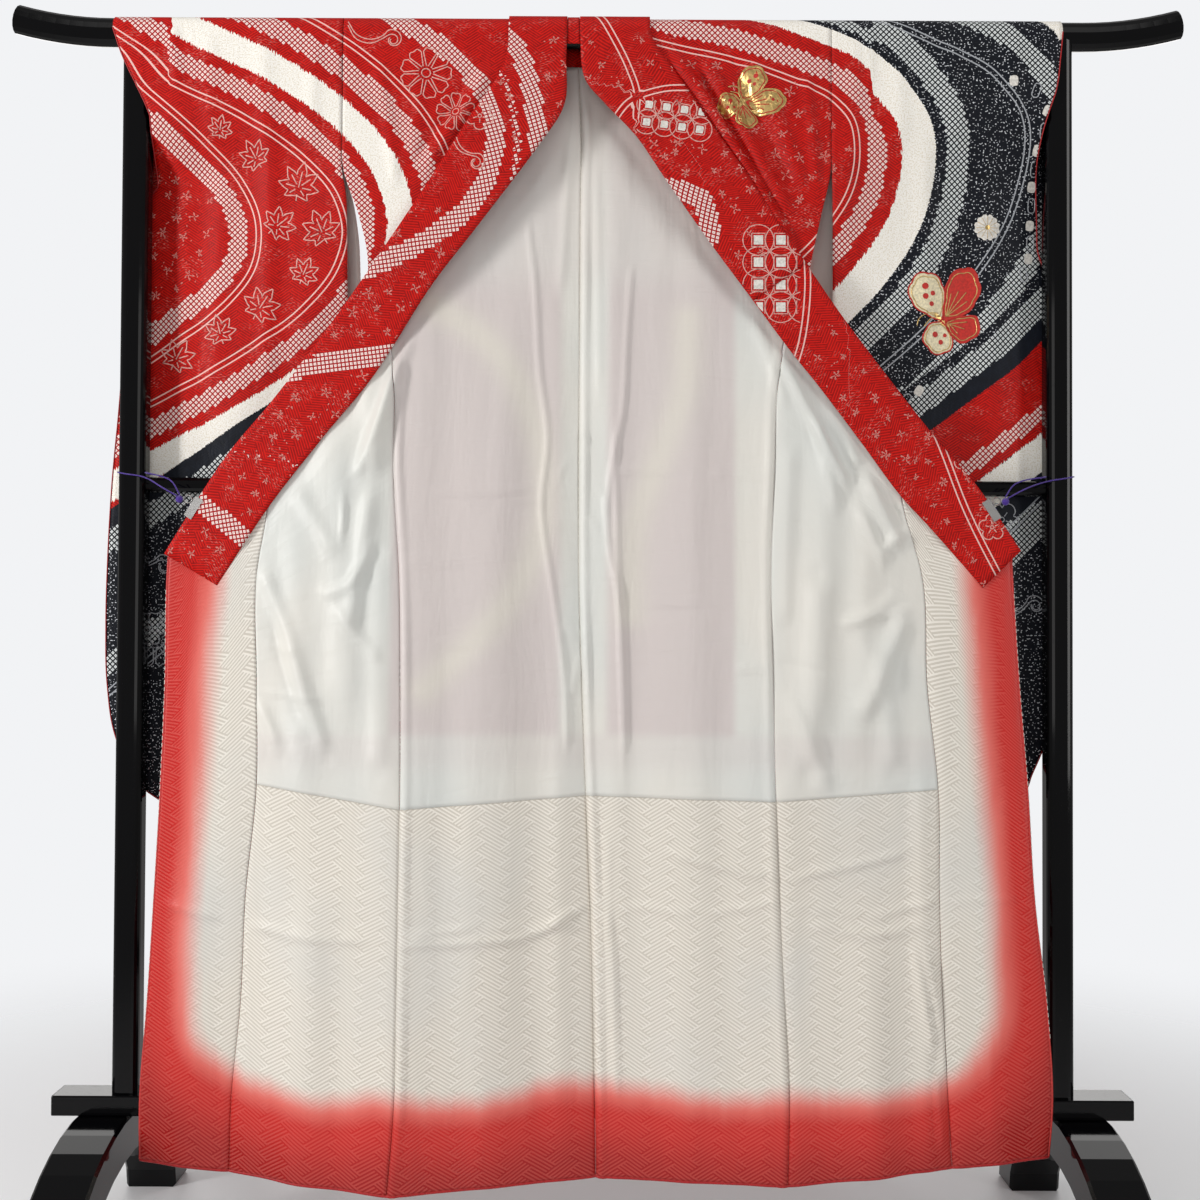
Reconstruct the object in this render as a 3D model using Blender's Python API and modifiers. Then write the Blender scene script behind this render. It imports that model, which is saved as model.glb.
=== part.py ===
"""A long-sleeved furisode kimono hung over a black lacquer kimono stand, fronts opened outwards.

Metres, +Z up, +X to the viewer's right and -Y towards the viewer. The origin is on the floor
under the middle of the stand. Each cloth piece is a grid between two seam lines, given a wall.
"""

import math

import bmesh
import bpy
import numpy as np
from mathutils import Matrix, Vector

# Stand
RAIL_RADIUS = 0.0205
RAIL_HEIGHT = 1.737
RAIL_HALF = 0.8405
RAIL_STRAIGHT_HALF = 0.70
RAIL_RISE = 0.96
POST_ACROSS = 0.665
POST_SIDE = 0.038
POST_ROUNDING = 0.010
MID_RAIL_RADIUS = 0.011
MID_RAIL_HEIGHT = 1.081
BAR_HALF = 0.765
BAR_DEPTH = 0.055
BAR_BOTTOM = 0.185
BAR_TOP = 0.2135
FOOT_ACROSS = 0.692
FOOT_WIDTH = 0.077
FOOT_HALF_LENGTH = 0.283
FOOT_HEIGHT = 0.187
ARCH_HALF_LENGTH = 0.214
ARCH_HEIGHT = 0.126
FIT = 0.0003

# Cloth
SILK = 0.0010
LINING = 0.0010
COLLAR_WALL = 0.0020
SEAM = 0.0003
BENT_SEAM = 0.0005
OPEN_SHARE = 0.365
WRAP_RADIUS = RAIL_RADIUS + 0.0005
COLLAR_WRAP_RADIUS = WRAP_RADIUS + SILK + 0.0004
BODY_TOP = RAIL_HEIGHT
SLEEVE_BOTTOM = 0.622
CUFF_FOOT = 1.50

# Seam lines of the body, top to bottom: height, across, depth
CENTRE_BACK = (
    (1.737, -0.030, 0.0210),
    (1.60, -0.024, 0.0140),
    (1.45, -0.024, 0.0040),
    (1.25, -0.024, -0.0080),
    (1.10, -0.024, -0.0145),
    (0.95, -0.023, -0.0175),
    (0.80, -0.018, -0.0200),
    (0.65, -0.012, -0.0240),
    (0.50, -0.005, -0.0290),
    (0.35, 0.000, -0.0335),
    (0.22, 0.003, -0.0360),
    (0.10, 0.005, -0.0360),
)
SIDE_LEFT = (
    (1.737, -0.3655, 0.0210),
    (1.60, -0.3655, 0.0130),
    (1.53, -0.363, 0.0085),
    (1.47, -0.342, 0.0020),
    (1.40, -0.325, -0.0080),
    (1.33, -0.308, -0.0180),
    (1.25, -0.290, -0.0280),
    (1.10, -0.287, -0.0350),
    (0.95, -0.277, -0.0420),
    (0.80, -0.273, -0.0510),
    (0.65, -0.271, -0.0600),
    (0.50, -0.271, -0.0720),
    (0.35, -0.271, -0.0840),
    (0.22, -0.272, -0.0930),
    (0.10, -0.280, -0.1000),
)
SIDE_RIGHT = (
    (1.737, 0.335, 0.0210),
    (1.60, 0.335, 0.0130),
    (1.53, 0.334, 0.0085),
    (1.47, 0.321, 0.0020),
    (1.40, 0.306, -0.0080),
    (1.33, 0.280, -0.0180),
    (1.25, 0.262, -0.0260),
    (1.10, 0.254, -0.0320),
    (0.95, 0.249, -0.0360),
    (0.80, 0.252, -0.0410),
    (0.65, 0.255, -0.0460),
    (0.50, 0.260, -0.0520),
    (0.35, 0.267, -0.0580),
    (0.22, 0.273, -0.0630),
    (0.10, 0.271, -0.0680),
)
OKUMI_LEFT = (
    (1.14, -0.462, -0.0300),
    (1.04, -0.467, -0.0310),
    (0.95, -0.480, -0.0330),
    (0.80, -0.478, -0.0360),
    (0.65, -0.476, -0.0400),
    (0.50, -0.489, -0.0430),
    (0.35, -0.494, -0.0460),
    (0.22, -0.505, -0.0480),
    (0.10, -0.507, -0.0500),
)
OKUMI_RIGHT = (
    (1.15, 0.432, -0.0300),
    (1.065, 0.435, -0.0310),
    (0.95, 0.464, -0.0330),
    (0.80, 0.470, -0.0360),
    (0.65, 0.485, -0.0400),
    (0.50, 0.486, -0.0430),
    (0.35, 0.490, -0.0460),
    (0.22, 0.497, -0.0480),
    (0.10, 0.504, -0.0500),
)
EDGE_LEFT = (
    (1.00, -0.605, -0.0280),
    (0.95, -0.607, -0.0300),
    (0.80, -0.607, -0.0340),
    (0.65, -0.611, -0.0380),
    (0.50, -0.617, -0.0420),
    (0.35, -0.624, -0.0460),
    (0.22, -0.632, -0.0490),
    (0.10, -0.630, -0.0520),
)
EDGE_RIGHT = (
    (1.00, 0.590, -0.0280),
    (0.95, 0.592, -0.0300),
    (0.80, 0.600, -0.0340),
    (0.65, 0.611, -0.0380),
    (0.50, 0.619, -0.0420),
    (0.35, 0.635, -0.0460),
    (0.22, 0.642, -0.0490),
    (0.10, 0.632, -0.0520),
)

# Heights on each seam line: seam line, top, lining meets skirt lining, hem
HEIGHTS = {
    "centre": (CENTRE_BACK, BODY_TOP, 0.640, 0.109),
    "side_left": (SIDE_LEFT, BODY_TOP, 0.622, 0.102),
    "side_right": (SIDE_RIGHT, BODY_TOP, 0.634, 0.1075),
    "side_left_front": (SIDE_LEFT, BODY_TOP - OPEN_SHARE * (BODY_TOP - 0.622), 0.622, 0.102),
    "side_right_front": (SIDE_RIGHT, BODY_TOP - OPEN_SHARE * (BODY_TOP - 0.634), 0.634, 0.1075),
    "okumi_left": (OKUMI_LEFT, 1.125, 0.655, 0.119),
    "okumi_right": (OKUMI_RIGHT, 1.138, 0.652, 0.128),
    "edge_left": (EDGE_LEFT, 0.976, 0.640, 0.134),
    "edge_right": (EDGE_RIGHT, 0.980, 0.640, 0.144),
}

# Upper fronts, hanging before the rail: height, armhole edge, collar edge, depth
FRONT_LEFT = (
    (1.737, -0.3655, -0.105, -0.0210),
    (1.70, -0.3655, -0.105, -0.0225),
    (1.65, -0.3655, -0.110, -0.0232),
    (1.60, -0.3655, -0.150, -0.0235),
    (1.53, -0.3630, -0.200, -0.0240),
    (1.47, -0.3420, -0.240, -0.0250),
    (1.41, -0.3280, -0.280, -0.0260),
    (1.37, -0.3260, -0.300, -0.0265),
)
FRONT_RIGHT = (
    (1.737, 0.335, 0.055, -0.0210),
    (1.70, 0.335, 0.060, -0.0225),
    (1.65, 0.335, 0.085, -0.0232),
    (1.60, 0.335, 0.115, -0.0235),
    (1.53, 0.334, 0.155, -0.0240),
    (1.47, 0.321, 0.190, -0.0250),
    (1.41, 0.308, 0.235, -0.0260),
    (1.37, 0.300, 0.262, -0.0265),
)

# Collar strips down from the rail: free edge across, its height, outer edge across, its height, depth
COLLAR_LEFT = (
    (-0.044, 1.737, -0.128, 1.737, -0.0224),
    (-0.045, 1.692, -0.130, 1.701, -0.0246),
    (-0.047, 1.628, -0.150, 1.655, -0.0265),
    (-0.082, 1.569, -0.180, 1.612, -0.0285),
    (-0.168, 1.453, -0.240, 1.515, -0.0305),
    (-0.237, 1.361, -0.305, 1.415, -0.0328),
    (-0.313, 1.239, -0.385, 1.298, -0.0342),
    (-0.389, 1.144, -0.460, 1.198, -0.0347),
    (-0.464, 1.046, -0.530, 1.111, -0.0347),
    (-0.535, 0.935, -0.611, 0.980, -0.0347),
)
COLLAR_RIGHT = (
    (-0.026, 1.737, 0.075, 1.737, -0.0224),
    (-0.020, 1.669, 0.083, 1.715, -0.0246),
    (0.010, 1.629, 0.128, 1.650, -0.0265),
    (0.056, 1.580, 0.176, 1.580, -0.0285),
    (0.098, 1.518, 0.212, 1.530, -0.0300),
    (0.161, 1.428, 0.247, 1.475, -0.0312),
    (0.223, 1.344, 0.298, 1.398, -0.0330),
    (0.274, 1.275, 0.347, 1.326, -0.0342),
    (0.318, 1.220, 0.390, 1.268, -0.0347),
    (0.377, 1.142, 0.440, 1.203, -0.0347),
    (0.430, 1.070, 0.490, 1.140, -0.0347),
    (0.476, 1.020, 0.543, 1.079, -0.0347),
    (0.549, 0.937, 0.603, 0.990, -0.0347),
)
OVER_COLLAR_LEFT_SHARE = 0.555
OVER_COLLAR_RIGHT_SHARE = 0.500

# Sleeves, front layer: height, inner across, inner depth, outer across, outer depth
SLEEVE_LEFT_FRONT = (
    (1.737, -0.3662, -0.0210, -0.697, -0.0210),
    (1.70, -0.3662, -0.0225, -0.684, -0.0230),
    (1.65, -0.3662, -0.0232, -0.660, -0.0240),
    (1.62, -0.3662, -0.0234, -0.646, -0.0225),
    (1.59, -0.3662, -0.0235, -0.637, -0.0120),
    (1.56, -0.3662, -0.0237, -0.634, 0.0060),
    (1.53, -0.3650, -0.0235, -0.636, 0.0240),
    (1.50, -0.3600, -0.0200, -0.660, 0.0285),
    (1.45, -0.3590, -0.0130, -0.686, 0.0300),
    (1.38, -0.3590, -0.0050, -0.690, 0.0300),
    (1.30, -0.3590, 0.0050, -0.691, 0.0290),
    (1.20, -0.3595, 0.0130, -0.697, 0.0290),
    (1.09, -0.3600, 0.0155, -0.706, 0.0290),
    (0.98, -0.3600, 0.0160, -0.711, 0.0285),
    (0.88, -0.3600, 0.0165, -0.7125, 0.0280),
    (0.79, -0.3605, 0.0170, -0.709, 0.0270),
    (0.72, -0.3610, 0.0175, -0.697, 0.0260),
    (0.67, -0.3615, 0.0180, -0.675, 0.0250),
    (0.64, -0.3620, 0.0180, -0.652, 0.0245),
    (0.622, -0.3630, 0.0185, -0.625, 0.0240),
)
SLEEVE_RIGHT_FRONT = (
    (1.737, 0.3353, -0.0210, 0.668, -0.0210),
    (1.70, 0.3353, -0.0225, 0.664, -0.0230),
    (1.65, 0.3353, -0.0232, 0.657, -0.0240),
    (1.62, 0.3353, -0.0234, 0.647, -0.0225),
    (1.59, 0.3353, -0.0235, 0.640, -0.0130),
    (1.56, 0.3355, -0.0237, 0.637, 0.0000),
    (1.53, 0.3360, -0.0235, 0.638, 0.0120),
    (1.50, 0.3370, -0.0200, 0.640, 0.0180),
    (1.45, 0.3385, -0.0130, 0.642, 0.0210),
    (1.38, 0.3400, -0.0050, 0.642, 0.0230),
    (1.30, 0.3415, 0.0050, 0.642, 0.0240),
    (1.20, 0.3420, 0.0130, 0.643, 0.0240),
    (1.09, 0.3420, 0.0155, 0.644, 0.0240),
    (0.98, 0.3420, 0.0160, 0.645, 0.0240),
    (0.88, 0.3420, 0.0165, 0.6455, 0.0240),
    (0.79, 0.3415, 0.0170, 0.645, 0.0240),
    (0.72, 0.3410, 0.0175, 0.643, 0.0240),
    (0.67, 0.3405, 0.0180, 0.635, 0.0240),
    (0.64, 0.3400, 0.0180, 0.622, 0.0240),
    (0.622, 0.3395, 0.0185, 0.600, 0.0240),
)

# Sleeves, back layer, same columns
SLEEVE_LEFT_BACK = (
    (1.737, -0.3662, 0.0210, -0.697, 0.0210),
    (1.70, -0.3662, 0.0190, -0.692, 0.0250),
    (1.65, -0.3662, 0.0165, -0.687, 0.0290),
    (1.62, -0.3662, 0.0145, -0.685, 0.0310),
    (1.59, -0.3662, 0.0128, -0.684, 0.0320),
    (1.56, -0.3662, 0.0112, -0.683, 0.0325),
    (1.53, -0.3650, 0.0100, -0.683, 0.0325),
    (1.50, -0.3560, 0.0115, -0.684, 0.0325),
    (1.45, -0.3480, 0.0180, -0.688, 0.0328),
    (1.38, -0.3450, 0.0240, -0.690, 0.0328),
    (1.30, -0.3450, 0.0300, -0.691, 0.0325),
    (1.20, -0.3460, 0.0350, -0.697, 0.0320),
    (1.09, -0.3480, 0.0370, -0.706, 0.0318),
    (0.98, -0.3500, 0.0370, -0.711, 0.0313),
    (0.88, -0.3520, 0.0360, -0.7125, 0.0308),
    (0.79, -0.3540, 0.0340, -0.709, 0.0298),
    (0.72, -0.3560, 0.0300, -0.697, 0.0288),
    (0.67, -0.3580, 0.0250, -0.675, 0.0278),
    (0.64, -0.3600, 0.0220, -0.652, 0.0273),
    (0.622, -0.3620, 0.0213, -0.625, 0.0268),
)
SLEEVE_RIGHT_BACK = (
    (1.737, 0.3353, 0.0210, 0.668, 0.0210),
    (1.70, 0.3353, 0.0190, 0.664, 0.0250),
    (1.65, 0.3353, 0.0165, 0.660, 0.0285),
    (1.62, 0.3353, 0.0145, 0.656, 0.0300),
    (1.59, 0.3353, 0.0128, 0.653, 0.0305),
    (1.56, 0.3350, 0.0112, 0.650, 0.0305),
    (1.53, 0.3340, 0.0100, 0.648, 0.0305),
    (1.50, 0.3290, 0.0115, 0.646, 0.0300),
    (1.45, 0.3250, 0.0180, 0.645, 0.0295),
    (1.38, 0.3230, 0.0240, 0.643, 0.0290),
    (1.30, 0.3230, 0.0300, 0.642, 0.0280),
    (1.20, 0.3250, 0.0350, 0.643, 0.0275),
    (1.09, 0.3270, 0.0370, 0.644, 0.0270),
    (0.98, 0.3290, 0.0370, 0.645, 0.0270),
    (0.88, 0.3310, 0.0360, 0.6455, 0.0270),
    (0.79, 0.3330, 0.0340, 0.645, 0.0270),
    (0.72, 0.3350, 0.0300, 0.643, 0.0270),
    (0.67, 0.3365, 0.0250, 0.635, 0.0268),
    (0.64, 0.3380, 0.0220, 0.622, 0.0268),
    (0.622, 0.3390, 0.0213, 0.600, 0.0268),
)

# Folds of the body: across and height of the upper end, of the lower end, half width, height of fold
BODY_FOLDS = (
    (-0.375, 1.20, -0.345, 0.72, 0.028, 0.010),
    (-0.325, 1.28, -0.315, 0.95, 0.018, 0.006),
    (-0.432, 1.10, -0.405, 0.60, 0.022, 0.006),
    (0.335, 1.22, 0.315, 0.70, 0.026, 0.009),
    (0.388, 1.12, 0.372, 0.68, 0.020, 0.006),
    (0.455, 0.80, 0.470, 0.05, 0.014, 0.004),
    (-0.058, 1.60, -0.045, 0.02, 0.017, 0.003),
    (0.022, 1.60, 0.040, 0.02, 0.017, 0.003),
    (-0.150, 1.45, -0.150, 0.02, 0.045, 0.005),
    (0.130, 1.40, 0.145, 0.02, 0.045, 0.005),
    (-0.395, 0.55, -0.410, 0.02, 0.038, 0.008),
    (0.385, 0.50, 0.395, 0.02, 0.038, 0.007),
    (-0.560, 0.60, -0.570, 0.02, 0.030, 0.005),
    (0.560, 0.60, 0.570, 0.02, 0.030, 0.005),
)
SLEEVE_FOLDS = (
    (-0.610, 1.72, -0.600, 0.70, 0.022, 0.005),
    (-0.510, 1.50, -0.530, 0.60, 0.045, 0.006),
    (-0.420, 1.48, -0.430, 0.60, 0.035, 0.005),
    (0.372, 1.76, 0.352, 1.42, 0.014, 0.004),
    (0.455, 1.50, 0.465, 0.60, 0.045, 0.006),
    (0.570, 1.55, 0.575, 0.60, 0.040, 0.006),
)

# Clips on the collar's outer edges: side, across, height, edge runs across, edge runs down
CLIPS = (
    ("left", -1, -0.5740, 1.0480, -0.525, -0.851),
    ("right", 1, 0.5655, 1.0500, 0.555, -0.832),
)
CLIP_LENGTH = 0.032
CLIP_DEPTH = 0.013
CLIP_PLATE = 0.0011
RING_RADIUS = 0.0055
RING_WIRE = 0.0008
KNOT_RADIUS = 0.0055
CORD_RADIUS = 0.0010


def clear_scene():
    for obj in list(bpy.data.objects):
        bpy.data.objects.remove(obj, do_unlink=True)


def make_collection(name, hidden=False):
    group = bpy.data.collections.new(name)
    bpy.context.scene.collection.children.link(group)
    group.hide_render = hidden
    return group


def make_material(name, colour, roughness, metallic=0.0):
    material = bpy.data.materials.new(name)
    material.use_nodes = True
    shader = material.node_tree.nodes["Principled BSDF"]
    shader.inputs["Base Color"].default_value = (*colour, 1.0)
    shader.inputs["Roughness"].default_value = roughness
    shader.inputs["Metallic"].default_value = metallic
    material.diffuse_color = (*colour, 1.0)
    return material


def place(obj, group, material):
    for held in list(obj.users_collection):
        held.objects.unlink(obj)
    group.objects.link(obj)
    if material is not None:
        obj.data.materials.append(material)
    return obj


def read_smooth(rows, key, column, at):
    """A column of a table read at any value of its key column, by a cubic through the rows."""
    keys = np.array([row[key] for row in rows], float)
    values = np.array([row[column] for row in rows], float)
    if keys[0] > keys[-1]:
        keys = keys[::-1]
        values = values[::-1]
    slopes = np.gradient(values, keys)
    at = np.clip(np.asarray(at, float), keys[0], keys[-1])
    step = np.clip(np.searchsorted(keys, at, side="right") - 1, 0, len(keys) - 2)
    span = keys[step + 1] - keys[step]
    t = (at - keys[step]) / span
    start = (1 + 2 * t) * (1 - t) ** 2 * values[step] + t * (1 - t) ** 2 * span * slopes[step]
    end = t * t * (3 - 2 * t) * values[step + 1] + t * t * (t - 1) * span * slopes[step + 1]
    return start + end


def fold_height(folds, across, height):
    """How far the folds lift the cloth towards the viewer at a point of its face."""
    total = np.zeros_like(across)
    for top_x, top_z, bottom_x, bottom_z, half_width, lift in folds:
        run = np.array([bottom_x - top_x, bottom_z - top_z])
        length = np.hypot(*run)
        along = ((across - top_x) * run[0] + (height - top_z) * run[1]) / length**2
        aside = ((across - top_x) * run[1] - (height - top_z) * run[0]) / length
        fade = np.clip(along / 0.25, 0, 1) * np.clip((1 - along) / 0.20, 0, 1)
        fade = fade * fade * (3 - 2 * fade)
        total += lift * fade * np.exp(-((aside / half_width) ** 2))
    return total


def grid_normals(points):
    down, right = np.gradient(points, axis=(0, 1))
    normals = np.cross(right, down)
    return normals / np.linalg.norm(normals, axis=2, keepdims=True)


def cloth(name, points, wall, side, group, material, lift=0.0):
    """A cloth wall on a grid of points: side 1 lies behind the grid, side -1 on the viewer's side."""
    rows, columns = points.shape[:2]
    moved = points + side * (SEAM / 2 + lift) * grid_normals(points)
    mesh = bpy.data.meshes.new(name)
    shape = bmesh.new()
    bmesh.ops.create_grid(shape, x_segments=columns - 1, y_segments=rows - 1, size=1.0)
    for vertex in shape.verts:
        column = round((vertex.co.x + 1) / 2 * (columns - 1))
        row = round((1 - vertex.co.y) / 2 * (rows - 1))
        vertex.co = Vector(moved[row, column])
    shape.to_mesh(mesh)
    shape.free()
    mesh.shade_smooth()
    obj = bpy.data.objects.new(name, mesh)
    wall_modifier = obj.modifiers.new("Wall", "SOLIDIFY")
    wall_modifier.thickness = wall
    wall_modifier.offset = -side
    return place(obj, group, material)


def between(left, right, columns, left_gap=SEAM / 2, right_gap=SEAM / 2):
    """A grid between two edge lines, each edge held back by half a seam or more."""
    width = np.linalg.norm(right - left, axis=1, keepdims=True)
    start = np.minimum(left_gap / width, 0.2)
    end = np.minimum(right_gap / width, 0.2)
    share = np.linspace(0, 1, columns)[None, :] * (1 - start - end) + start
    return left[:, None, :] * (1 - share[:, :, None]) + right[:, None, :] * share[:, :, None]


def seam_points(name, upper, lower):
    """Points down one seam line: rows above where the two linings meet, then rows below."""
    line, top, middle, hem = HEIGHTS[name]
    heights = np.concatenate([top + (middle - top) * upper, middle + (hem - middle) * lower[1:]])
    across = read_smooth(line, 0, 1, heights)
    depth = read_smooth(line, 0, 2, heights)
    return np.stack([across, depth, heights], axis=1)


def with_folds(points, folds):
    lifted = points.copy()
    lifted[:, :, 1] -= fold_height(folds, points[:, :, 0], points[:, :, 2])
    return lifted


def wrap_rows(left_x, right_x, radius, side, columns, angles=(89.6, 72.0, 54.0, 36.0, 18.0)):
    """Rows over the top of the rail, from its crown down one side: side 1 is the back."""
    rows = []
    for angle in angles:
        turn = math.radians(angle)
        across = np.linspace(left_x, right_x, columns)
        depth = np.full(columns, side * radius * math.cos(turn))
        height = np.full(columns, RAIL_HEIGHT + radius * math.sin(turn))
        rows.append(np.stack([across, depth, height], axis=1))
    return np.array(rows)


def cut_rows(points, first, last, start_gap, end_gap):
    """Some rows of a grid, its first and last moved inwards to leave a seam."""
    part = points[first : last + 1].copy()
    if start_gap:
        step = part[1] - part[0]
        part[0] += step * (SEAM / 2) / np.linalg.norm(step, axis=1, keepdims=True)
    if end_gap:
        step = part[-2] - part[-1]
        part[-1] += step * (SEAM / 2) / np.linalg.norm(step, axis=1, keepdims=True)
    return part


def make_body_side(side, group, silk, lining, skirt_lining):
    """The back panel, front panel and overlap of one side, each with what lies on its inner face."""
    columns = 9
    joined = np.linspace(0, 1, 9)
    lower = np.linspace(0, 1, 6)
    free = np.array([0, 0.10, 0.22, 0.40, 0.60, 0.80]) * OPEN_SHARE
    upper = np.concatenate([free, OPEN_SHARE + (1 - OPEN_SHARE) * joined])
    split = len(upper) - 1
    centre = seam_points("centre", upper, lower)
    seam = seam_points("side_" + side, upper, lower)
    if side == "left":
        back = between(seam, centre, columns, BENT_SEAM, BENT_SEAM)
    else:
        back = between(centre, seam, columns, BENT_SEAM, BENT_SEAM)
    back = with_folds(back, BODY_FOLDS)
    crown = wrap_rows(back[0, 0, 0], back[0, -1, 0], WRAP_RADIUS, 1, columns)
    whole_back = np.concatenate([crown, back])
    cloth("body_back_" + side, whole_back, SILK, 1, group, silk)
    cloth("lining_back_" + side, cut_rows(back, 1, split, False, True), LINING, -1, group, lining)
    last = len(back) - 1
    skirt = cut_rows(back, split, last, True, False)
    cloth("hakkake_back_" + side, skirt, LINING, -1, group, skirt_lining)

    upper = joined
    split = len(upper) - 1
    seam = seam_points("side_" + side + "_front", upper, lower)
    overlap = seam_points("okumi_" + side, upper, lower)
    edge = seam_points("edge_" + side, upper, lower)
    if side == "left":
        front = between(overlap, seam, 8, BENT_SEAM, BENT_SEAM)
        okumi = between(edge, overlap, 5, SEAM / 2, BENT_SEAM)
    else:
        front = between(seam, overlap, 8, BENT_SEAM, BENT_SEAM)
        okumi = between(overlap, edge, 5, BENT_SEAM, SEAM / 2)
    front = with_folds(front, BODY_FOLDS)
    okumi = with_folds(okumi, BODY_FOLDS)
    last = len(front) - 1
    cloth("body_front_" + side, front, SILK, 1, group, silk)
    cloth("lining_front_" + side, cut_rows(front, 0, split, False, True), LINING, -1, group, lining)
    skirt = cut_rows(front, split, last, True, False)
    cloth("hakkake_front_" + side, skirt, LINING, -1, group, skirt_lining)
    cloth("okumi_" + side, okumi, SILK, 1, group, silk)
    cloth("hakkake_okumi_" + side, okumi, LINING, -1, group, skirt_lining)


def make_upper_front(side, table, group, silk):
    columns = 8
    heights = np.array([1.737, 1.70, 1.66, 1.61, 1.56, 1.51, 1.46, 1.41, 1.37])
    edges = []
    for column in (1, 2):
        across = read_smooth(table, 0, column, heights)
        depth = read_smooth(table, 0, 3, heights)
        edges.append(np.stack([across, depth, heights], axis=1))
    armhole, collar = edges
    hanging = between(armhole, collar, columns) if side == "left" else between(collar, armhole, columns)
    crown = wrap_rows(hanging[0, 0, 0], hanging[0, -1, 0], WRAP_RADIUS, -1, columns)
    cloth("shoulder_front_" + side, np.concatenate([crown, hanging]), SILK, -1, group, silk)


def collar_grid(table, stations, columns):
    place_in_table = np.arange(len(table))
    rows = [(index, *row) for index, row in zip(place_in_table, table)]
    free = np.stack(
        [read_smooth(rows, 0, 1, stations), read_smooth(rows, 0, 5, stations), read_smooth(rows, 0, 2, stations)],
        axis=1,
    )
    outer = np.stack(
        [read_smooth(rows, 0, 3, stations), read_smooth(rows, 0, 5, stations), read_smooth(rows, 0, 4, stations)],
        axis=1,
    )
    if outer[0, 0] < free[0, 0]:
        return between(outer, free, columns)
    return between(free, outer, columns)


def make_collar(side, table, share, group, silk):
    columns = 4
    last = len(table) - 1
    stations = np.linspace(0, last, 2 * last + 1)
    hanging = collar_grid(table, stations, columns)
    crown = wrap_rows(hanging[0, 0, 0], hanging[0, -1, 0], COLLAR_WRAP_RADIUS, -1, columns)
    cloth("collar_" + side, np.concatenate([crown, hanging]), COLLAR_WALL, -1, group, silk)
    stations = np.linspace(0, last * share, last + 1)
    hanging = collar_grid(table, stations, columns)
    radius = COLLAR_WRAP_RADIUS
    crown = wrap_rows(hanging[0, 0, 0], hanging[0, -1, 0], radius, -1, columns)
    points = np.concatenate([crown, hanging])
    cloth("over_collar_" + side, points, SILK, -1, group, silk, lift=COLLAR_WALL + SEAM)


def make_nape(group, silk):
    """The collar behind the neck, hanging a hand's breadth down the back of the rail."""
    columns = 9
    crown = wrap_rows(-0.1275, 0.0745, COLLAR_WRAP_RADIUS, 1, columns)
    heights = np.array([1.737, 1.715, 1.690, 1.665])
    across = np.linspace(-0.1275, 0.0745, columns)
    rows = []
    for height in heights:
        depth = read_smooth(CENTRE_BACK, 0, 2, height) + 0.0016
        rows.append(np.stack([across, np.full(columns, depth), np.full(columns, height)], axis=1))
    cloth("collar_nape", np.concatenate([crown, np.array(rows)]), COLLAR_WALL, 1, group, silk)


def sleeve_grid(table, heights, columns, inner_first):
    sides = []
    for across_column, depth_column in ((1, 2), (3, 4)):
        across = read_smooth(table, 0, across_column, heights)
        depth = read_smooth(table, 0, depth_column, heights)
        sides.append(np.stack([across, depth, heights], axis=1))
    inner, outer = sides
    grid = between(inner, outer, columns) if inner_first else between(outer, inner, columns)
    return grid


def make_sleeve(side, front_table, back_table, group, silk, lining):
    columns = 9
    heights = np.array([row[0] for row in front_table])
    right = side == "right"
    front = sleeve_grid(front_table, heights, columns, right)
    back = sleeve_grid(back_table, heights, columns, right)
    share = np.linspace(0, 1, columns)
    belly = 4 * share * (1 - share)
    drop = np.clip((1.60 - heights) / 0.3, 0, 1) * np.clip((heights - SLEEVE_BOTTOM) / 0.12, 0, 1)
    back[:, :, 1] += 0.014 * drop[:, None] * belly[None, :]
    front = with_folds(front, SLEEVE_FOLDS)
    back[:, :, 1] += fold_height(SLEEVE_FOLDS, back[:, :, 0] + 0.03, back[:, :, 2]) * 0.8
    ends = front[0, 0, 0], front[0, -1, 0]
    front_crown = wrap_rows(*ends, WRAP_RADIUS, -1, columns)
    back_crown = wrap_rows(*ends, WRAP_RADIUS, 1, columns)
    cloth("sleeve_front_" + side, np.concatenate([front_crown, front]), SILK, -1, group, silk)
    cloth("sleeve_back_" + side, np.concatenate([back_crown, back]), SILK, 1, group, silk)
    inner = slice(0, 3) if right else slice(columns - 3, columns)
    strip = back[7:-2, inner]
    cloth("sleeve_lining_" + side, strip, LINING, -1, group, lining)


def make_tube(name, points, radius, group, material, resolution=4):
    data = bpy.data.curves.new(name, "CURVE")
    data.dimensions = "3D"
    data.bevel_depth = radius
    data.bevel_resolution = resolution
    data.use_fill_caps = True
    spline = data.splines.new("POLY")
    spline.points.add(len(points) - 1)
    for point, place_at in zip(spline.points, points):
        point.co = (*place_at, 1.0)
    spline.use_smooth = True
    return place(bpy.data.objects.new(name, data), group, material)


def make_rail(group, lacquer):
    across = np.concatenate(
        [
            np.linspace(-RAIL_HALF, -RAIL_STRAIGHT_HALF, 8),
            np.linspace(RAIL_STRAIGHT_HALF, RAIL_HALF, 8),
        ]
    )
    past = np.maximum(0, np.abs(across) - RAIL_STRAIGHT_HALF)
    heights = RAIL_HEIGHT + RAIL_RISE * past**2
    points = [(x, 0.0, z) for x, z in zip(across, heights)]
    make_tube("top_rail", points, RAIL_RADIUS, group, lacquer, resolution=6)


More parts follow.
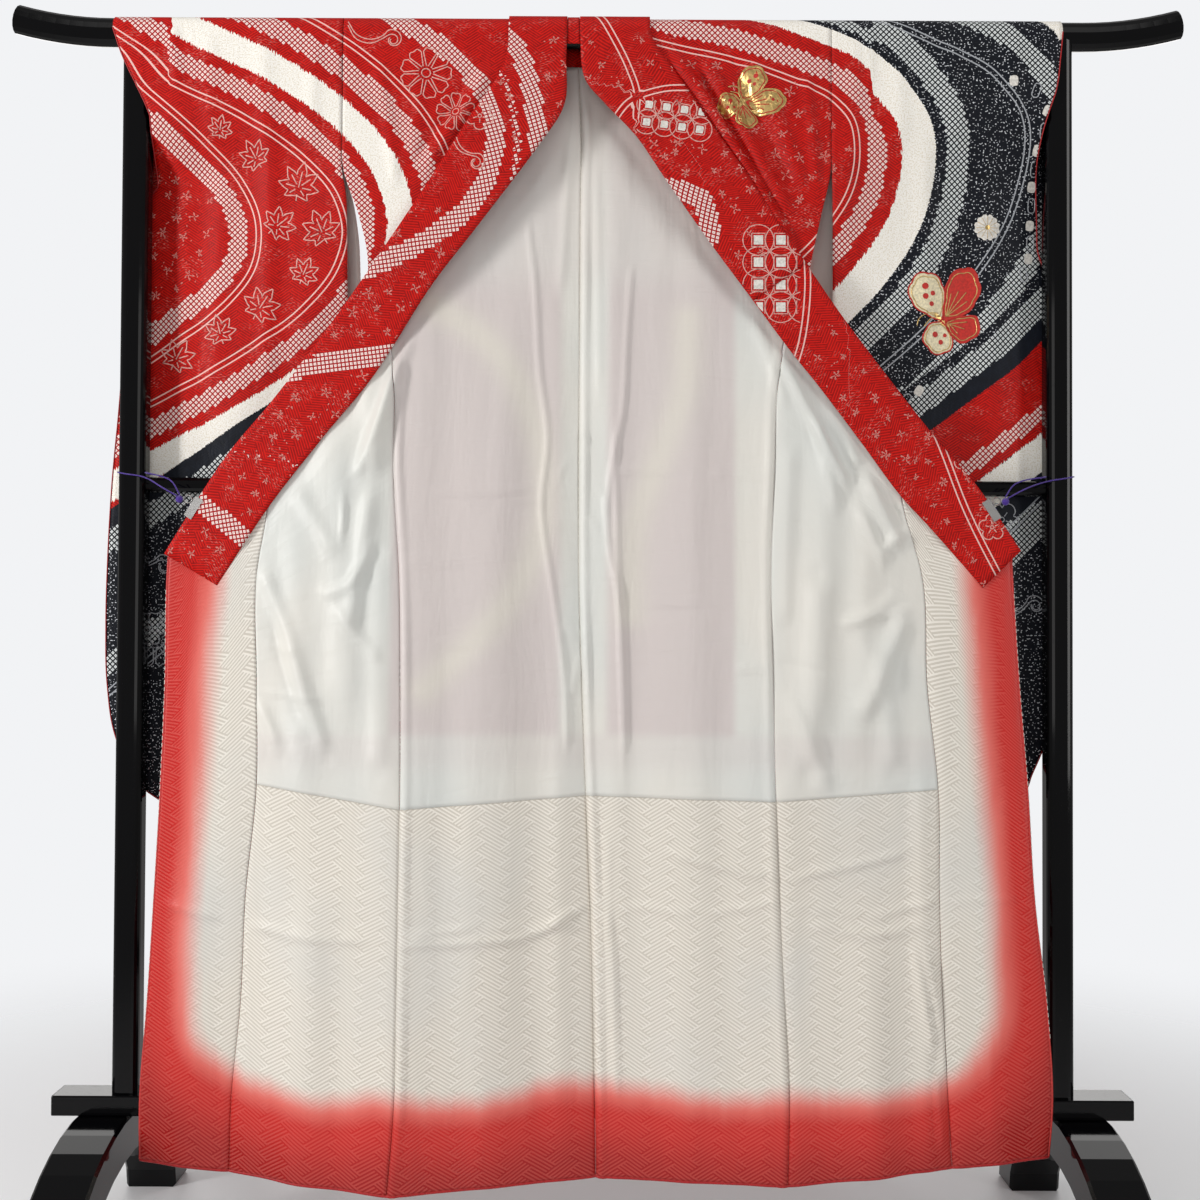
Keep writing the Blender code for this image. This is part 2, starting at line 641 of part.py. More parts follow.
def make_box(name, size, centre, rounding, segments, group, material):
    mesh = bpy.data.meshes.new(name)
    shape = bmesh.new()
    bmesh.ops.create_cube(shape, size=1.0, matrix=Matrix.Diagonal((*size, 1.0)))
    shape.to_mesh(mesh)
    shape.free()
    mesh.shade_smooth()
    obj = bpy.data.objects.new(name, mesh)
    obj.location = centre
    if rounding:
        bevel = obj.modifiers.new("Rounding", "BEVEL")
        bevel.width = rounding
        bevel.segments = segments
    return place(obj, group, material)


def make_post(side, sign, group, cutters, lacquer):
    """A square post with rounded corners, its head hollowed to carry the rail."""
    foot = BAR_TOP + FIT
    head = RAIL_HEIGHT
    outline = bpy.data.meshes.new("post_" + side)
    shape = bmesh.new()
    size = (POST_SIDE, POST_SIDE, head - foot)
    bmesh.ops.create_cube(shape, size=1.0, matrix=Matrix.Diagonal((*size, 1.0)))
    upright = [edge for edge in shape.edges if abs(edge.verts[0].co.z - edge.verts[1].co.z) > 0.1]
    bmesh.ops.bevel(
        shape, geom=upright, offset=POST_ROUNDING, segments=4, profile=0.5, affect="EDGES"
    )
    shape.to_mesh(outline)
    shape.free()
    outline.shade_smooth()
    obj = bpy.data.objects.new("post_" + side, outline)
    obj.location = (sign * POST_ACROSS, 0, (foot + head) / 2)
    cutter_mesh = bpy.data.meshes.new("saddle_" + side)
    shape = bmesh.new()
    bmesh.ops.create_cone(
        shape,
        cap_ends=True,
        segments=32,
        radius1=RAIL_RADIUS + 2 * FIT,
        radius2=RAIL_RADIUS + 2 * FIT,
        depth=0.08,
        matrix=Matrix.Rotation(math.radians(90), 4, "Y"),
    )
    shape.to_mesh(cutter_mesh)
    shape.free()
    cutter = bpy.data.objects.new("saddle_" + side, cutter_mesh)
    cutter.location = (sign * POST_ACROSS, 0, RAIL_HEIGHT)
    cutter.hide_render = True
    cutter.display_type = "WIRE"
    cutters.objects.link(cutter)
    saddle = obj.modifiers.new("Saddle", "BOOLEAN")
    saddle.operation = "DIFFERENCE"
    saddle.object = cutter
    return place(obj, group, lacquer)


def make_foot(side, sign, group, lacquer):
    """A half-moon foot that runs front to back, with an arch under it and flat ends on the floor."""
    data = bpy.data.curves.new("foot_" + side, "CURVE")
    data.dimensions = "2D"
    data.fill_mode = "BOTH"
    data.extrude = FOOT_WIDTH / 2 - 0.004
    data.bevel_depth = 0.004
    data.bevel_resolution = 0
    data.offset = -0.004
    outline = []
    steps = 20
    for index in range(steps + 1):
        turn = math.pi * index / steps
        height = min(FOOT_HEIGHT * math.sin(turn), BAR_BOTTOM - FIT)
        outline.append((FOOT_HALF_LENGTH * math.cos(turn), height))
    for index in range(steps - 5):
        turn = math.pi * (1 - index / (steps - 6))
        outline.append((ARCH_HALF_LENGTH * math.cos(turn), ARCH_HEIGHT * math.sin(turn)))
    spline = data.splines.new("POLY")
    spline.points.add(len(outline) - 1)
    for point, (length, height) in zip(spline.points, outline):
        point.co = (length, height, 0, 1)
    spline.use_cyclic_u = True
    obj = bpy.data.objects.new("foot_" + side, data)
    obj.rotation_euler = (math.radians(90), 0, math.radians(90))
    obj.location = (sign * FOOT_ACROSS, 0, 0)
    return place(obj, group, lacquer)


def make_stand(group, cutters, lacquer):
    make_rail(group, lacquer)
    for side, sign in (("left", -1), ("right", 1)):
        make_post(side, sign, group, cutters, lacquer)
        make_foot(side, sign, group, lacquer)
    reach = POST_ACROSS - POST_SIDE / 2 - FIT
    rail = [(-reach, 0, MID_RAIL_HEIGHT), (0, 0, MID_RAIL_HEIGHT), (reach, 0, MID_RAIL_HEIGHT)]
    make_tube("mid_rail", rail, MID_RAIL_RADIUS, group, lacquer, resolution=4)
    size = (2 * BAR_HALF, BAR_DEPTH, BAR_TOP - BAR_BOTTOM)
    centre = (0, 0, (BAR_TOP + BAR_BOTTOM) / 2)
    make_box("lower_bar", size, centre, 0.002, 2, group, lacquer)


def smooth_route(route, count):
    """Points evenly spaced along a smooth curve through a route's own points."""
    route = np.array(route, float)
    chord = np.concatenate([[0], np.cumsum(np.linalg.norm(np.diff(route, axis=0), axis=1))])
    rows = [(place_at, *point) for place_at, point in zip(chord, route)]
    fine = np.linspace(0, chord[-1], 400)
    line = np.stack([read_smooth(rows, 0, column, fine) for column in (1, 2, 3)], axis=1)
    length = np.concatenate([[0], np.cumsum(np.linalg.norm(np.diff(line, axis=0), axis=1))])
    wanted = np.linspace(0, length[-1], count)
    return np.stack([np.interp(wanted, length, line[:, axis]) for axis in range(3)], axis=1)


def make_clip(side, sign, across, height, edge_x, edge_z, group, steel, cord_silk):
    """A spring clip biting the collar's outer edge, its ring, and the cord that ties it to the post."""
    table = COLLAR_LEFT if sign < 0 else COLLAR_RIGHT
    collar_depth = table[-1][4]
    centre_y = collar_depth - SEAM / 2 - COLLAR_WALL / 2
    gap = COLLAR_WALL / 2 + SEAM
    outward = Vector((sign * abs(edge_z), 0, abs(edge_x)))
    along = Vector((edge_x, 0, edge_z))
    profile = (
        (0, -gap - CLIP_PLATE),
        (CLIP_DEPTH - 0.001, -gap - CLIP_PLATE),
        (CLIP_DEPTH, -gap - CLIP_PLATE + 0.001),
        (CLIP_DEPTH, gap + CLIP_PLATE - 0.001),
        (CLIP_DEPTH - 0.001, gap + CLIP_PLATE),
        (0, gap + CLIP_PLATE),
        (0, gap),
        (CLIP_DEPTH - CLIP_PLATE, gap),
        (CLIP_DEPTH - CLIP_PLATE, -gap),
        (0, -gap),
    )
    data = bpy.data.curves.new("clip_" + side, "CURVE")
    data.dimensions = "2D"
    data.fill_mode = "BOTH"
    data.extrude = CLIP_LENGTH / 2
    spline = data.splines.new("POLY")
    spline.points.add(len(profile) - 1)
    for point, (out, deep) in zip(spline.points, profile):
        point.co = (out, deep, 0, 1)
    spline.use_cyclic_u = True
    clip = bpy.data.objects.new("clip_" + side, data)
    start = Vector((across, centre_y, height)) - outward * (CLIP_DEPTH - CLIP_PLATE - 0.0006)
    facing = Vector((0, 1, 0))
    turned = Matrix((outward, facing, outward.cross(facing))).transposed().to_4x4()
    clip.matrix_world = Matrix.Translation(start) @ turned
    place(clip, group, steel)

    spine = start + outward * CLIP_DEPTH
    ring_centre = spine + outward * (RING_RADIUS + RING_WIRE + SEAM) - along * 0.006
    bpy.ops.mesh.primitive_torus_add(
        location=ring_centre,
        rotation=(math.radians(90), 0, 0),
        major_radius=RING_RADIUS,
        minor_radius=RING_WIRE,
        major_segments=16,
        minor_segments=6,
    )
    ring = bpy.context.object
    ring.name = "clip_ring_" + side
    ring.data.shade_smooth()
    place(ring, group, steel)

    knot_centre = ring_centre + Vector((sign, 0, 0)) * (RING_RADIUS + RING_WIRE + SEAM + KNOT_RADIUS)
    bpy.ops.mesh.primitive_uv_sphere_add(
        segments=12, ring_count=8, radius=KNOT_RADIUS, location=knot_centre
    )
    knot = bpy.context.object
    knot.name = "cord_knot_" + side
    knot.data.shade_smooth()
    place(knot, group, cord_silk)

    clear = POST_SIDE / 2 + CORD_RADIUS + SEAM
    post = sign * POST_ACROSS
    level = MID_RAIL_HEIGHT + MID_RAIL_RADIUS + CORD_RADIUS + 0.004
    first = knot_centre + Vector((sign * 0.60, 0, 0.80)) * (KNOT_RADIUS + 2 * SEAM)
    second = knot_centre + Vector((sign * -0.05, 0, 1.0)) * (KNOT_RADIUS + 2 * SEAM)
    corner = clear - 0.0045
    route = (
        first,
        first + Vector((sign * 0.018, 0.0005, 0.010)),
        (post - sign * 0.020, -clear - 0.004, level - 0.007),
        (post + sign * corner * 0.55, -clear - 0.0008, level - 0.002),
        (post + sign * (corner + 0.0022), -corner - 0.0022, level),
        (post + sign * clear, -corner * 0.4, level + 0.001),
        (post + sign * clear, corner * 0.6, level + 0.001),
        (post + sign * (corner + 0.0022), corner + 0.0022, level + 0.001),
        (post + sign * corner * 0.4, clear, level + 0.001),
        (post - sign * corner * 0.4, clear, level + 0.001),
        (post - sign * (corner + 0.0022), corner + 0.0022, level + 0.001),
        (post - sign * clear, corner * 0.5, level + 0.001),
        (post - sign * clear, -corner * 0.4, level + 0.001),
        (post - sign * (clear + 0.003), -0.024, level - 0.001),
        (knot_centre.x + sign * 0.011, -0.0330, level - 0.015),
        second,
    )
    points = smooth_route(route, 56)
    make_tube("cord_" + side, points, CORD_RADIUS, group, cord_silk, resolution=2)


def main():
    clear_scene()
    group = make_collection("furisode_on_stand")
    cutters = make_collection("cutters", hidden=True)
    lacquer = make_material("black_lacquer", (0.012, 0.011, 0.012), 0.12)
    red_silk = make_material("red_silk", (0.52, 0.020, 0.016), 0.45)
    white_silk = make_material("white_lining", (0.78, 0.76, 0.74), 0.38)
    skirt_silk = make_material("skirt_lining", (0.80, 0.70, 0.60), 0.40)
    steel = make_material("clip_steel", (0.62, 0.62, 0.63), 0.25, 1.0)
    cord_silk = make_material("purple_cord", (0.10, 0.03, 0.28), 0.6)
    make_stand(group, cutters, lacquer)
    for side in ("left", "right"):
        make_body_side(side, group, red_silk, white_silk, skirt_silk)
    make_upper_front("left", FRONT_LEFT, group, red_silk)
    make_upper_front("right", FRONT_RIGHT, group, red_silk)
    make_collar("left", COLLAR_LEFT, OVER_COLLAR_LEFT_SHARE, group, red_silk)
    make_collar("right", COLLAR_RIGHT, OVER_COLLAR_RIGHT_SHARE, group, red_silk)
    make_nape(group, red_silk)
    make_sleeve("left", SLEEVE_LEFT_FRONT, SLEEVE_LEFT_BACK, group, red_silk, white_silk)
    make_sleeve("right", SLEEVE_RIGHT_FRONT, SLEEVE_RIGHT_BACK, group, red_silk, white_silk)
    for row in CLIPS:
        make_clip(*row, group, steel, cord_silk)


main()
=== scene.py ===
"""Looks of a long-sleeved furisode kimono on its lacquer stand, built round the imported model.

Metres, +Z up, -Y towards the viewer. Tables that go through metres() are written in millimetres. The
cloth pieces repeat the seam lines of the part's source and stand for its solids. On cloth the UV map
"cloth" is in metres across and along the grain.
"""

import math
import random

import bmesh
import bpy
import numpy as np
from mathutils import Matrix, Vector
from mathutils.bvhtree import BVHTree


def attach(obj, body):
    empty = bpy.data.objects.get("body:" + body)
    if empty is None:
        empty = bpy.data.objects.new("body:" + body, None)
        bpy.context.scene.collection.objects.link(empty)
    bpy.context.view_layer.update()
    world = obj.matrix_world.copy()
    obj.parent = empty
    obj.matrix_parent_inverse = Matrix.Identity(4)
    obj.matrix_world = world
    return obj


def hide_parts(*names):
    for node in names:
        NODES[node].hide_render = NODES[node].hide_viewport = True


bl_info = {
    "name": "Furisode kimono on its stand",
    "version": (1, 0, 0),
    "blender": (4, 5, 0),
    "location": "View3D > Sidebar > Furisode",
    "description": "Dresses the packed furisode kimono and its lacquer stand",
    "category": "Object",
}

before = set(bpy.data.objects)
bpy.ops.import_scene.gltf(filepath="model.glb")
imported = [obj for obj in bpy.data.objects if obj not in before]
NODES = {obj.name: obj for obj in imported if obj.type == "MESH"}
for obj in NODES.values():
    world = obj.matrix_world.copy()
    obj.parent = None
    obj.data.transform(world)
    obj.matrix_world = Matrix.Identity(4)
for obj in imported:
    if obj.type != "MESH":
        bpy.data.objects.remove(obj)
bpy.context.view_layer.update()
SIDES = ("left", "right")


def metres(table):
    """A table of millimetres, in metres."""
    return tuple(metres(row) if isinstance(row, tuple) else row / 1000 for row in table)


# Stand
RAIL_RADIUS, RAIL_HEIGHT = 0.0205, 1.737
POST_ACROSS, POST_SIDE = 0.665, 0.038
MID_RAIL_RADIUS, MID_RAIL_HEIGHT = 0.011, 1.081

# Cloth: walls, gaps at straight and bent seams, the share of the side seam that is open, radii of
# the cloth over the rail, and the sleeves' lowest point
SILK = 0.0010
COLLAR_WALL = 0.0020
SEAM = 0.0003
BENT_SEAM = 0.0005
OPEN_SHARE = 0.365
WRAP_RADIUS = RAIL_RADIUS + 0.0005
COLLAR_WRAP_RADIUS = WRAP_RADIUS + SILK + 0.0004
BODY_CROWN = RAIL_HEIGHT + WRAP_RADIUS
SLEEVE_BOTTOM = 0.622

# Seam lines of the body, top to bottom: heights, places across, depths
LOWER = (950, 800, 650, 500, 350, 220, 100)
SIDE_HEIGHTS = (1737, 1600, 1530, 1470, 1400, 1330, 1250, 1100, *LOWER)
OKUMI_DEPTHS = (-30, -31, -33, -36, -40, -43, -46, -48, -50)
EDGE_DEPTHS = (-28, -30, -34, -38, -42, -46, -49, -52)
CENTRE_BACK = metres((
    (1737, 1600, 1450, 1250, 1100, *LOWER),
    (-30, -24, -24, -24, -24, -23, -18, -12, -5, 0, 3, 5),
    (21, 14, 4, -8, -14.5, -17.5, -20, -24, -29, -33.5, -36, -36),
))
SIDE_LEFT = metres((
    SIDE_HEIGHTS,
    (-365.5, -365.5, -363, -342, -325, -308, -290, -287, -277, -273, -271, -271, -271, -272, -280),
    (21, 13, 8.5, 2, -8, -18, -28, -35, -42, -51, -60, -72, -84, -93, -100),
))
SIDE_RIGHT = metres((
    SIDE_HEIGHTS,
    (335, 335, 334, 321, 306, 280, 262, 254, 249, 252, 255, 260, 267, 273, 271),
    (21, 13, 8.5, 2, -8, -18, -26, -32, -36, -41, -46, -52, -58, -63, -68),
))
OKUMI_LEFT = metres((
    (1140, 1040, *LOWER), (-462, -467, -480, -478, -476, -489, -494, -505, -507), OKUMI_DEPTHS,
))
OKUMI_RIGHT = metres((
    (1150, 1065, *LOWER), (432, 435, 464, 470, 485, 486, 490, 497, 504), OKUMI_DEPTHS,
))
EDGE_LEFT = metres((
    (1000, *LOWER), (-605, -607, -607, -611, -617, -624, -632, -630), EDGE_DEPTHS,
))
EDGE_RIGHT = metres(((1000, *LOWER), (590, 592, 600, 611, 619, 635, 642, 632), EDGE_DEPTHS))

# Each seam: its line, its top, the height where lining meets skirt lining, and the hem
HEIGHTS = {
    "centre": (CENTRE_BACK, RAIL_HEIGHT, 0.640, 0.109),
    "side_left": (SIDE_LEFT, RAIL_HEIGHT, 0.622, 0.102),
    "side_right": (SIDE_RIGHT, RAIL_HEIGHT, 0.634, 0.1075),
    "side_left_front": (SIDE_LEFT, RAIL_HEIGHT - OPEN_SHARE * (RAIL_HEIGHT - 0.622), 0.622, 0.102),
    "side_right_front": (SIDE_RIGHT, RAIL_HEIGHT - OPEN_SHARE * (RAIL_HEIGHT - 0.634), 0.634, 0.1075),
    "okumi_left": (OKUMI_LEFT, 1.125, 0.655, 0.119),
    "okumi_right": (OKUMI_RIGHT, 1.138, 0.652, 0.128),
    "edge_left": (EDGE_LEFT, 0.976, 0.640, 0.134),
    "edge_right": (EDGE_RIGHT, 0.980, 0.640, 0.144),
}

# Upper fronts, hanging before the rail: heights and depths, then the armhole edge and the collar edge
FRONT_HEIGHTS, FRONT_DEPTHS = metres((
    (1737, 1700, 1650, 1600, 1530, 1470, 1410, 1370),
    (-21, -22.5, -23.2, -23.5, -24, -25, -26, -26.5),
))
FRONT_EDGES = {
    "left": metres((
        (-365.5, -365.5, -365.5, -365.5, -363, -342, -328, -326),
        (-105, -105, -110, -150, -200, -240, -280, -300),
    )),
    "right": metres((
        (335, 335, 335, 335, 334, 321, 308, 300),
        (55, 60, 85, 115, 155, 190, 235, 262),
    )),
}

# Collar strips down from the rail: free edge across and its heights, outer edge the same, depths
COLLARS = {
    "left": metres((
        (-44, -45, -47, -82, -168, -237, -313, -389, -464, -535),
        (1737, 1692, 1628, 1569, 1453, 1361, 1239, 1144, 1046, 935),
        (-128, -130, -150, -180, -240, -305, -385, -460, -530, -611),
        (1737, 1701, 1655, 1612, 1515, 1415, 1298, 1198, 1111, 980),
        (-22.4, -24.6, -26.5, -28.5, -30.5, -32.8, -34.2, -34.7, -34.7, -34.7),
    )),
    "right": metres((
        (-26, -20, 10, 56, 98, 161, 223, 274, 318, 377, 430, 476, 549),
        (1737, 1669, 1629, 1580, 1518, 1428, 1344, 1275, 1220, 1142, 1070, 1020, 937),
        (75, 83, 128, 176, 212, 247, 298, 347, 390, 440, 490, 543, 603),
        (1737, 1715, 1650, 1580, 1530, 1475, 1398, 1326, 1268, 1203, 1140, 1079, 990),
        (-22.4, -24.6, -26.5, -28.5, -30, -31.2, -33, -34.2, -34.7, -34.7, -34.7, -34.7, -34.7),
    )),
}
OVER_COLLAR_SHARE = {"left": 0.555, "right": 0.500}

# Sleeves: heights, the inner edge's depth in each layer, then inner across, outer across, outer depth
SLEEVE_HEIGHTS, *SLEEVE_DEPTHS = metres((
    (
        1737, 1700, 1650, 1620, 1590, 1560, 1530, 1500, 1450, 1380, 1300, 1200, 1090, 980, 880, 790,
        720, 670, 640, 622,
    ),
    (
        -21, -22.5, -23.2, -23.4, -23.5, -23.7, -23.5, -20, -13, -5, 5, 13, 15.5, 16, 16.5, 17, 17.5,
        18, 18, 18.5,
    ),
    (21, 19, 16.5, 14.5, 12.8, 11.2, 10, 11.5, 18, 24, 30, 35, 37, 37, 36, 34, 30, 25, 22, 21.3),
))
SLEEVES = {
    "front_left": metres((
        (
            -366.2, -366.2, -366.2, -366.2, -366.2, -366.2, -365, -360, -359, -359, -359, -359.5, -360,
            -360, -360, -360.5, -361, -361.5, -362, -363,
        ),
        (
            -697, -684, -660, -646, -637, -634, -636, -660, -686, -690, -691, -697, -706, -711, -712.5,
            -709, -697, -675, -652, -625,
        ),
        (-21, -23, -24, -22.5, -12, 6, 24, 28.5, 30, 30, 29, 29, 29, 28.5, 28, 27, 26, 25, 24.5, 24),
    )),
    "front_right": metres((
        (
            335.3, 335.3, 335.3, 335.3, 335.3, 335.5, 336, 337, 338.5, 340, 341.5, 342, 342, 342, 342,
            341.5, 341, 340.5, 340, 339.5,
        ),
        (
            668, 664, 657, 647, 640, 637, 638, 640, 642, 642, 642, 643, 644, 645, 645.5, 645, 643, 635,
            622, 600,
        ),
        (-21, -23, -24, -22.5, -13, 0, 12, 18, 21, 23, 24, 24, 24, 24, 24, 24, 24, 24, 24, 24),
    )),
    "back_left": metres((
        (
            -366.2, -366.2, -366.2, -366.2, -366.2, -366.2, -365, -356, -348, -345, -345, -346, -348,
            -350, -352, -354, -356, -358, -360, -362,
        ),
        (
            -697, -692, -687, -685, -684, -683, -683, -684, -688, -690, -691, -697, -706, -711, -712.5,
            -709, -697, -675, -652, -625,
        ),
        (
            21, 25, 29, 31, 32, 32.5, 32.5, 32.5, 32.8, 32.8, 32.5, 32, 31.8, 31.3, 30.8, 29.8, 28.8,
            27.8, 27.3, 26.8,
        ),
    )),
    "back_right": metres((
        (
            335.3, 335.3, 335.3, 335.3, 335.3, 335, 334, 329, 325, 323, 323, 325, 327, 329, 331, 333,
            335, 336.5, 338, 339,
        ),
        (
            668, 664, 660, 656, 653, 650, 648, 646, 645, 643, 642, 643, 644, 645, 645.5, 645, 643, 635,
            622, 600,
        ),
        (
            21, 25, 28.5, 30, 30.5, 30.5, 30.5, 30, 29.5, 29, 28, 27.5, 27, 27, 27, 27, 27, 26.8, 26.8,
            26.8,
        ),
    )),
}

# Folds: across and height of the upper end, of the lower end, half width, height of the fold
BODY_FOLDS = metres((
    (-375, 1200, -345, 720, 28, 10), (-325, 1280, -315, 950, 18, 6), (-432, 1100, -405, 600, 22, 6),
    (335, 1220, 315, 700, 26, 9), (388, 1120, 372, 680, 20, 6), (455, 800, 470, 50, 14, 4),
    (-58, 1600, -45, 20, 17, 3), (22, 1600, 40, 20, 17, 3), (-150, 1450, -150, 20, 45, 5),
    (130, 1400, 145, 20, 45, 5), (-395, 550, -410, 20, 38, 8), (385, 500, 395, 20, 38, 7),
    (-560, 600, -570, 20, 30, 5), (560, 600, 570, 20, 30, 5),
))
SLEEVE_FOLDS = metres((
    (-610, 1720, -600, 700, 22, 5), (-510, 1500, -530, 600, 45, 6), (-420, 1480, -430, 600, 35, 5),
    (372, 1760, 352, 1420, 14, 4), (455, 1500, 465, 600, 45, 6), (570, 1550, 575, 600, 40, 6),
))
SLEEVE_CREASES = metres((
    (-612, 1757, -600, 1640, 6, 4.5), (-560, 1745, -548, 1560, 12, 3),
    (-480, 1745, -476, 1560, 14, 3.4), (-405, 1740, -412, 1540, 10, 3), (-470, 1640, -480, 1200, 14, 5),
    (-540, 1600, -560, 1180, 18, 4), (393, 1780, 391, 1640, 4, 3.6), (430, 1745, 435, 1560, 12, 3.2),
    (505, 1745, 515, 1560, 14, 3.4), (600, 1745, 598, 1600, 10, 3), (470, 1620, 480, 1250, 16, 4.5),
    (560, 1620, 575, 1250, 16, 4.5),
))

# Pleats of the shoulders beside the collar: a line of (across, height), half width, height
SHOULDER_RIDGES = metres((
    (((102, 1706), (152, 1640), (191, 1577), (223, 1527), (256, 1470), (288, 1420)), 8, 11.5),
    (((136, 1693), (174, 1622), (206, 1567), (233, 1519), (265, 1464), (293, 1417)), 5, -9),
    (((152, 1697), (191, 1622), (223, 1567), (250, 1519), (282, 1464)), 7.5, 8.5),
    (((190, 1700), (226, 1622), (254, 1567), (284, 1500)), 6, -6),
    (((214, 1700), (262, 1600), (302, 1500)), 9, 6), (((296, 1690), (306, 1600), (316, 1500)), 7, 5.5),
    (((-152, 1690), (-178, 1640), (-214, 1585), (-252, 1530)), 8, 7.5),
    (((-176, 1690), (-202, 1635), (-236, 1585), (-270, 1530)), 6, -4),
    (((-318, 1700), (-300, 1600), (-286, 1500)), 8, 4.5),
    (((-262, 1700), (-258, 1620), (-266, 1540)), 10, 3.5),
))

# Long soft folds of the linings, in the same way, and fine creases pressed into them, as folds are
LINING_RIDGES = metres((
    (((-261, 1316), (-295, 1206), (-344, 1077)), 9, 7),
    (((-475, 969), (-458, 929), (-434, 870), (-412, 799), (-390, 740), (-372, 690)), 11, 7.5),
    (((-464, 900), (-448, 846), (-428, 787), (-409, 728)), 9, -2.8),
    (((-485, 780), (-470, 763), (-456, 735), (-439, 690)), 8, 6),
    (((-357, 1080), (-356, 1024), (-359, 985)), 4.5, 4),
    (((-312, 1010), (-330, 958), (-354, 932), (-380, 927), (-394, 943)), 8, 5.5),
    (((-305, 987), (-306, 859), (-302, 666)), 14, 4.5),
    (((254, 1287), (296, 1196), (364, 1064)), 8, 9.5),
    (((220, 1338), (248, 1261), (274, 1183)), 8, 5.5), (((364, 1064), (393, 1003), (416, 952)), 8, 6.5),
    (((460, 1023), (422, 1004), (396, 971)), 8, 6), (((435, 933), (390, 900), (339, 878)), 9, 6),
    (((314, 958), (307, 829), (300, 669)), 20, 7.5), (((390, 868), (409, 779), (422, 670)), 16, 6.5),
    (((277, 1151), (271, 1022), (268, 874)), 12, 4.5),
    ((
        (-102, 1479), (-88, 1363), (-81, 1246), (-69, 1149), (-77, 1053), (-61, 937), (-43, 809),
        (-38, 693),
    ), 4.2, 3.4),
    ((
        (50, 1409), (43, 1286), (37, 1182), (24, 1118), (17, 1014), (33, 924), (42, 796), (44, 689),
    ), 4.2, 3.4),
    (((-32, 1169), (-17, 1150), (0, 1124)), 4, 2.2), (((-54, 1078), (-48, 1104), (-30, 1121)), 4, 2.2),
    (((-3, 1092), (13, 1059), (10, 1021)), 4, 2.4), (((-19, 1053), (1, 1021), (20, 995)), 4, 2),
    (((4, 517), (23, 449), (30, 346), (34, 210)), 5, 4.2),
    (((-278, 439), (-183, 439), (-63, 457), (-24, 483)), 5, 5.8),
    (((461, 442), (483, 348), (494, 238)), 7, 4.2), (((-612, 492), (-560, 478), (-515, 468)), 6, 4.4),
    (((-490, 462), (-400, 446), (-300, 443)), 6, 4.8), (((290, 470), (380, 452), (470, 462)), 6, 4.4),
))
LINING_CREASES = metres((
    (88, 565, 263, 525, 5, 3.2), (263, 525, 453, 567, 5, 3), (37, 487, 150, 478, 5, 1.8),
    (150, 478, 260, 495, 5, 1.6), (266, 493, 380, 476, 5, 1.5), (380, 476, 489, 498, 5, 2),
    (491, 498, 600, 500, 4, 1.2), (445, 450, 479, 272, 5, 3), (479, 272, 489, 146, 5, 2.4),
    (24, 1230, 42, 641, 4, 2), (17, 638, 30, 270, 4, 2), (58, 906, 167, 898, 3, -1.2),
    (194, 823, 244, 817, 4, 1.8), (338, 885, 456, 908, 5, 2.2), (254, 831, 326, 816, 4, -1.5),
    (447, 920, 371, 741, 14, 6), (266, 796, 335, 642, 12, 4), (20, 1102, 125, 1104, 4, 1.5),
    (152, 1098, 252, 1095, 4, 1.6), (-249, 1069, -83, 1073, 4, 1.4), (-170, 1053, -45, 1043, 3, -1),
    (-268, 448, -160, 460, 5, 1.8), (-160, 460, -8, 458, 5, 1.6), (-68, 459, -5, 490, 5, 1.8),
    (-230, 845, -162, 839, 3, -1), (-286, 1268, -317, 1086, 13, 6), (-317, 1086, -347, 859, 12, 5),
    (-434, 1088, -362, 972, 12, 4), (-476, 788, -374, 771, 4, 1.6), (-471, 858, -417, 837, 4, 1.4),
    (-375, 915, -297, 824, 8, 2.5), (341, 1203, 378, 1104, 10, 5), (378, 1104, 435, 982, 10, 5),
    (389, 1146, 439, 1019, 6, -3), (307, 1196, 344, 1032, 9, 3.5), (-39, 1616, -52, 1344, 7, 2),
    (-2, 1602, 6, 1173, 6, 1.6), (-274, 973, -177, 965, 4, 1.2), (-49, 889, -14, 861, 6, 1.5),
    (-14, 861, -35, 776, 6, 1.2),
))

# Tie-backs: side, its sign, the clip's place across and its height, and how the collar's edge runs
CLIPS = (
    ("left", -1, -0.5740, 1.0480, -0.525, -0.851),
    ("right", 1, 0.5655, 1.0500, 0.555, -0.832),
)
CLIP_PLATE = 0.0011
RING_RADIUS, RING_WIRE = 0.0055, 0.0008
KNOT_RADIUS = 0.0055
CORD_RADIUS = 0.0010

# Guide lines of the dyed bands: across, and down the cloth from the rail's crown
HAIRPIN_LEFT = metres((
    (-900, -20), (-760, 60), (-660, 140), (-585, 205), (-542, 252), (-520, 300), (-524, 345),
    (-556, 388), (-620, 436), (-720, 500), (-900, 600),
))
SWEEP_LEFT = metres((
    (-950, -170), (-800, -60), (-700, 15), (-610, 72), (-490, 130), (-405, 188), (-352, 250),
    (-336, 312), (-352, 372), (-405, 438), (-480, 492), (-570, 545), (-680, 600), (-850, 690),
))
NIGHT_LEFT = metres((
    (-200, 360), (-300, 430), (-380, 490), (-450, 540), (-530, 592), (-600, 640), (-700, 705),
    (-850, 790),
))
LOWER_LEFT = metres(((-200, 900), (-340, 800), (-460, 790), (-560, 830), (-660, 900), (-800, 1020)))
SHOULDER_LEFT = metres((
    (-750, -420), (-520, -200), (-380, -60), (-284, 10), (-205, 62), (-160, 120), (-146, 190),
    (-170, 265), (-245, 330), (-330, 372), (-500, 420),
))
CROSSING_LEFT = metres(((-520, 545), (-410, 512), (-340, 500), (-260, 488), (-120, 470)))
NECK_LEFT = metres(((-190, -30), (-147, 14), (-111, 60), (-92, 127), (-84, 187), (-80, 250)))
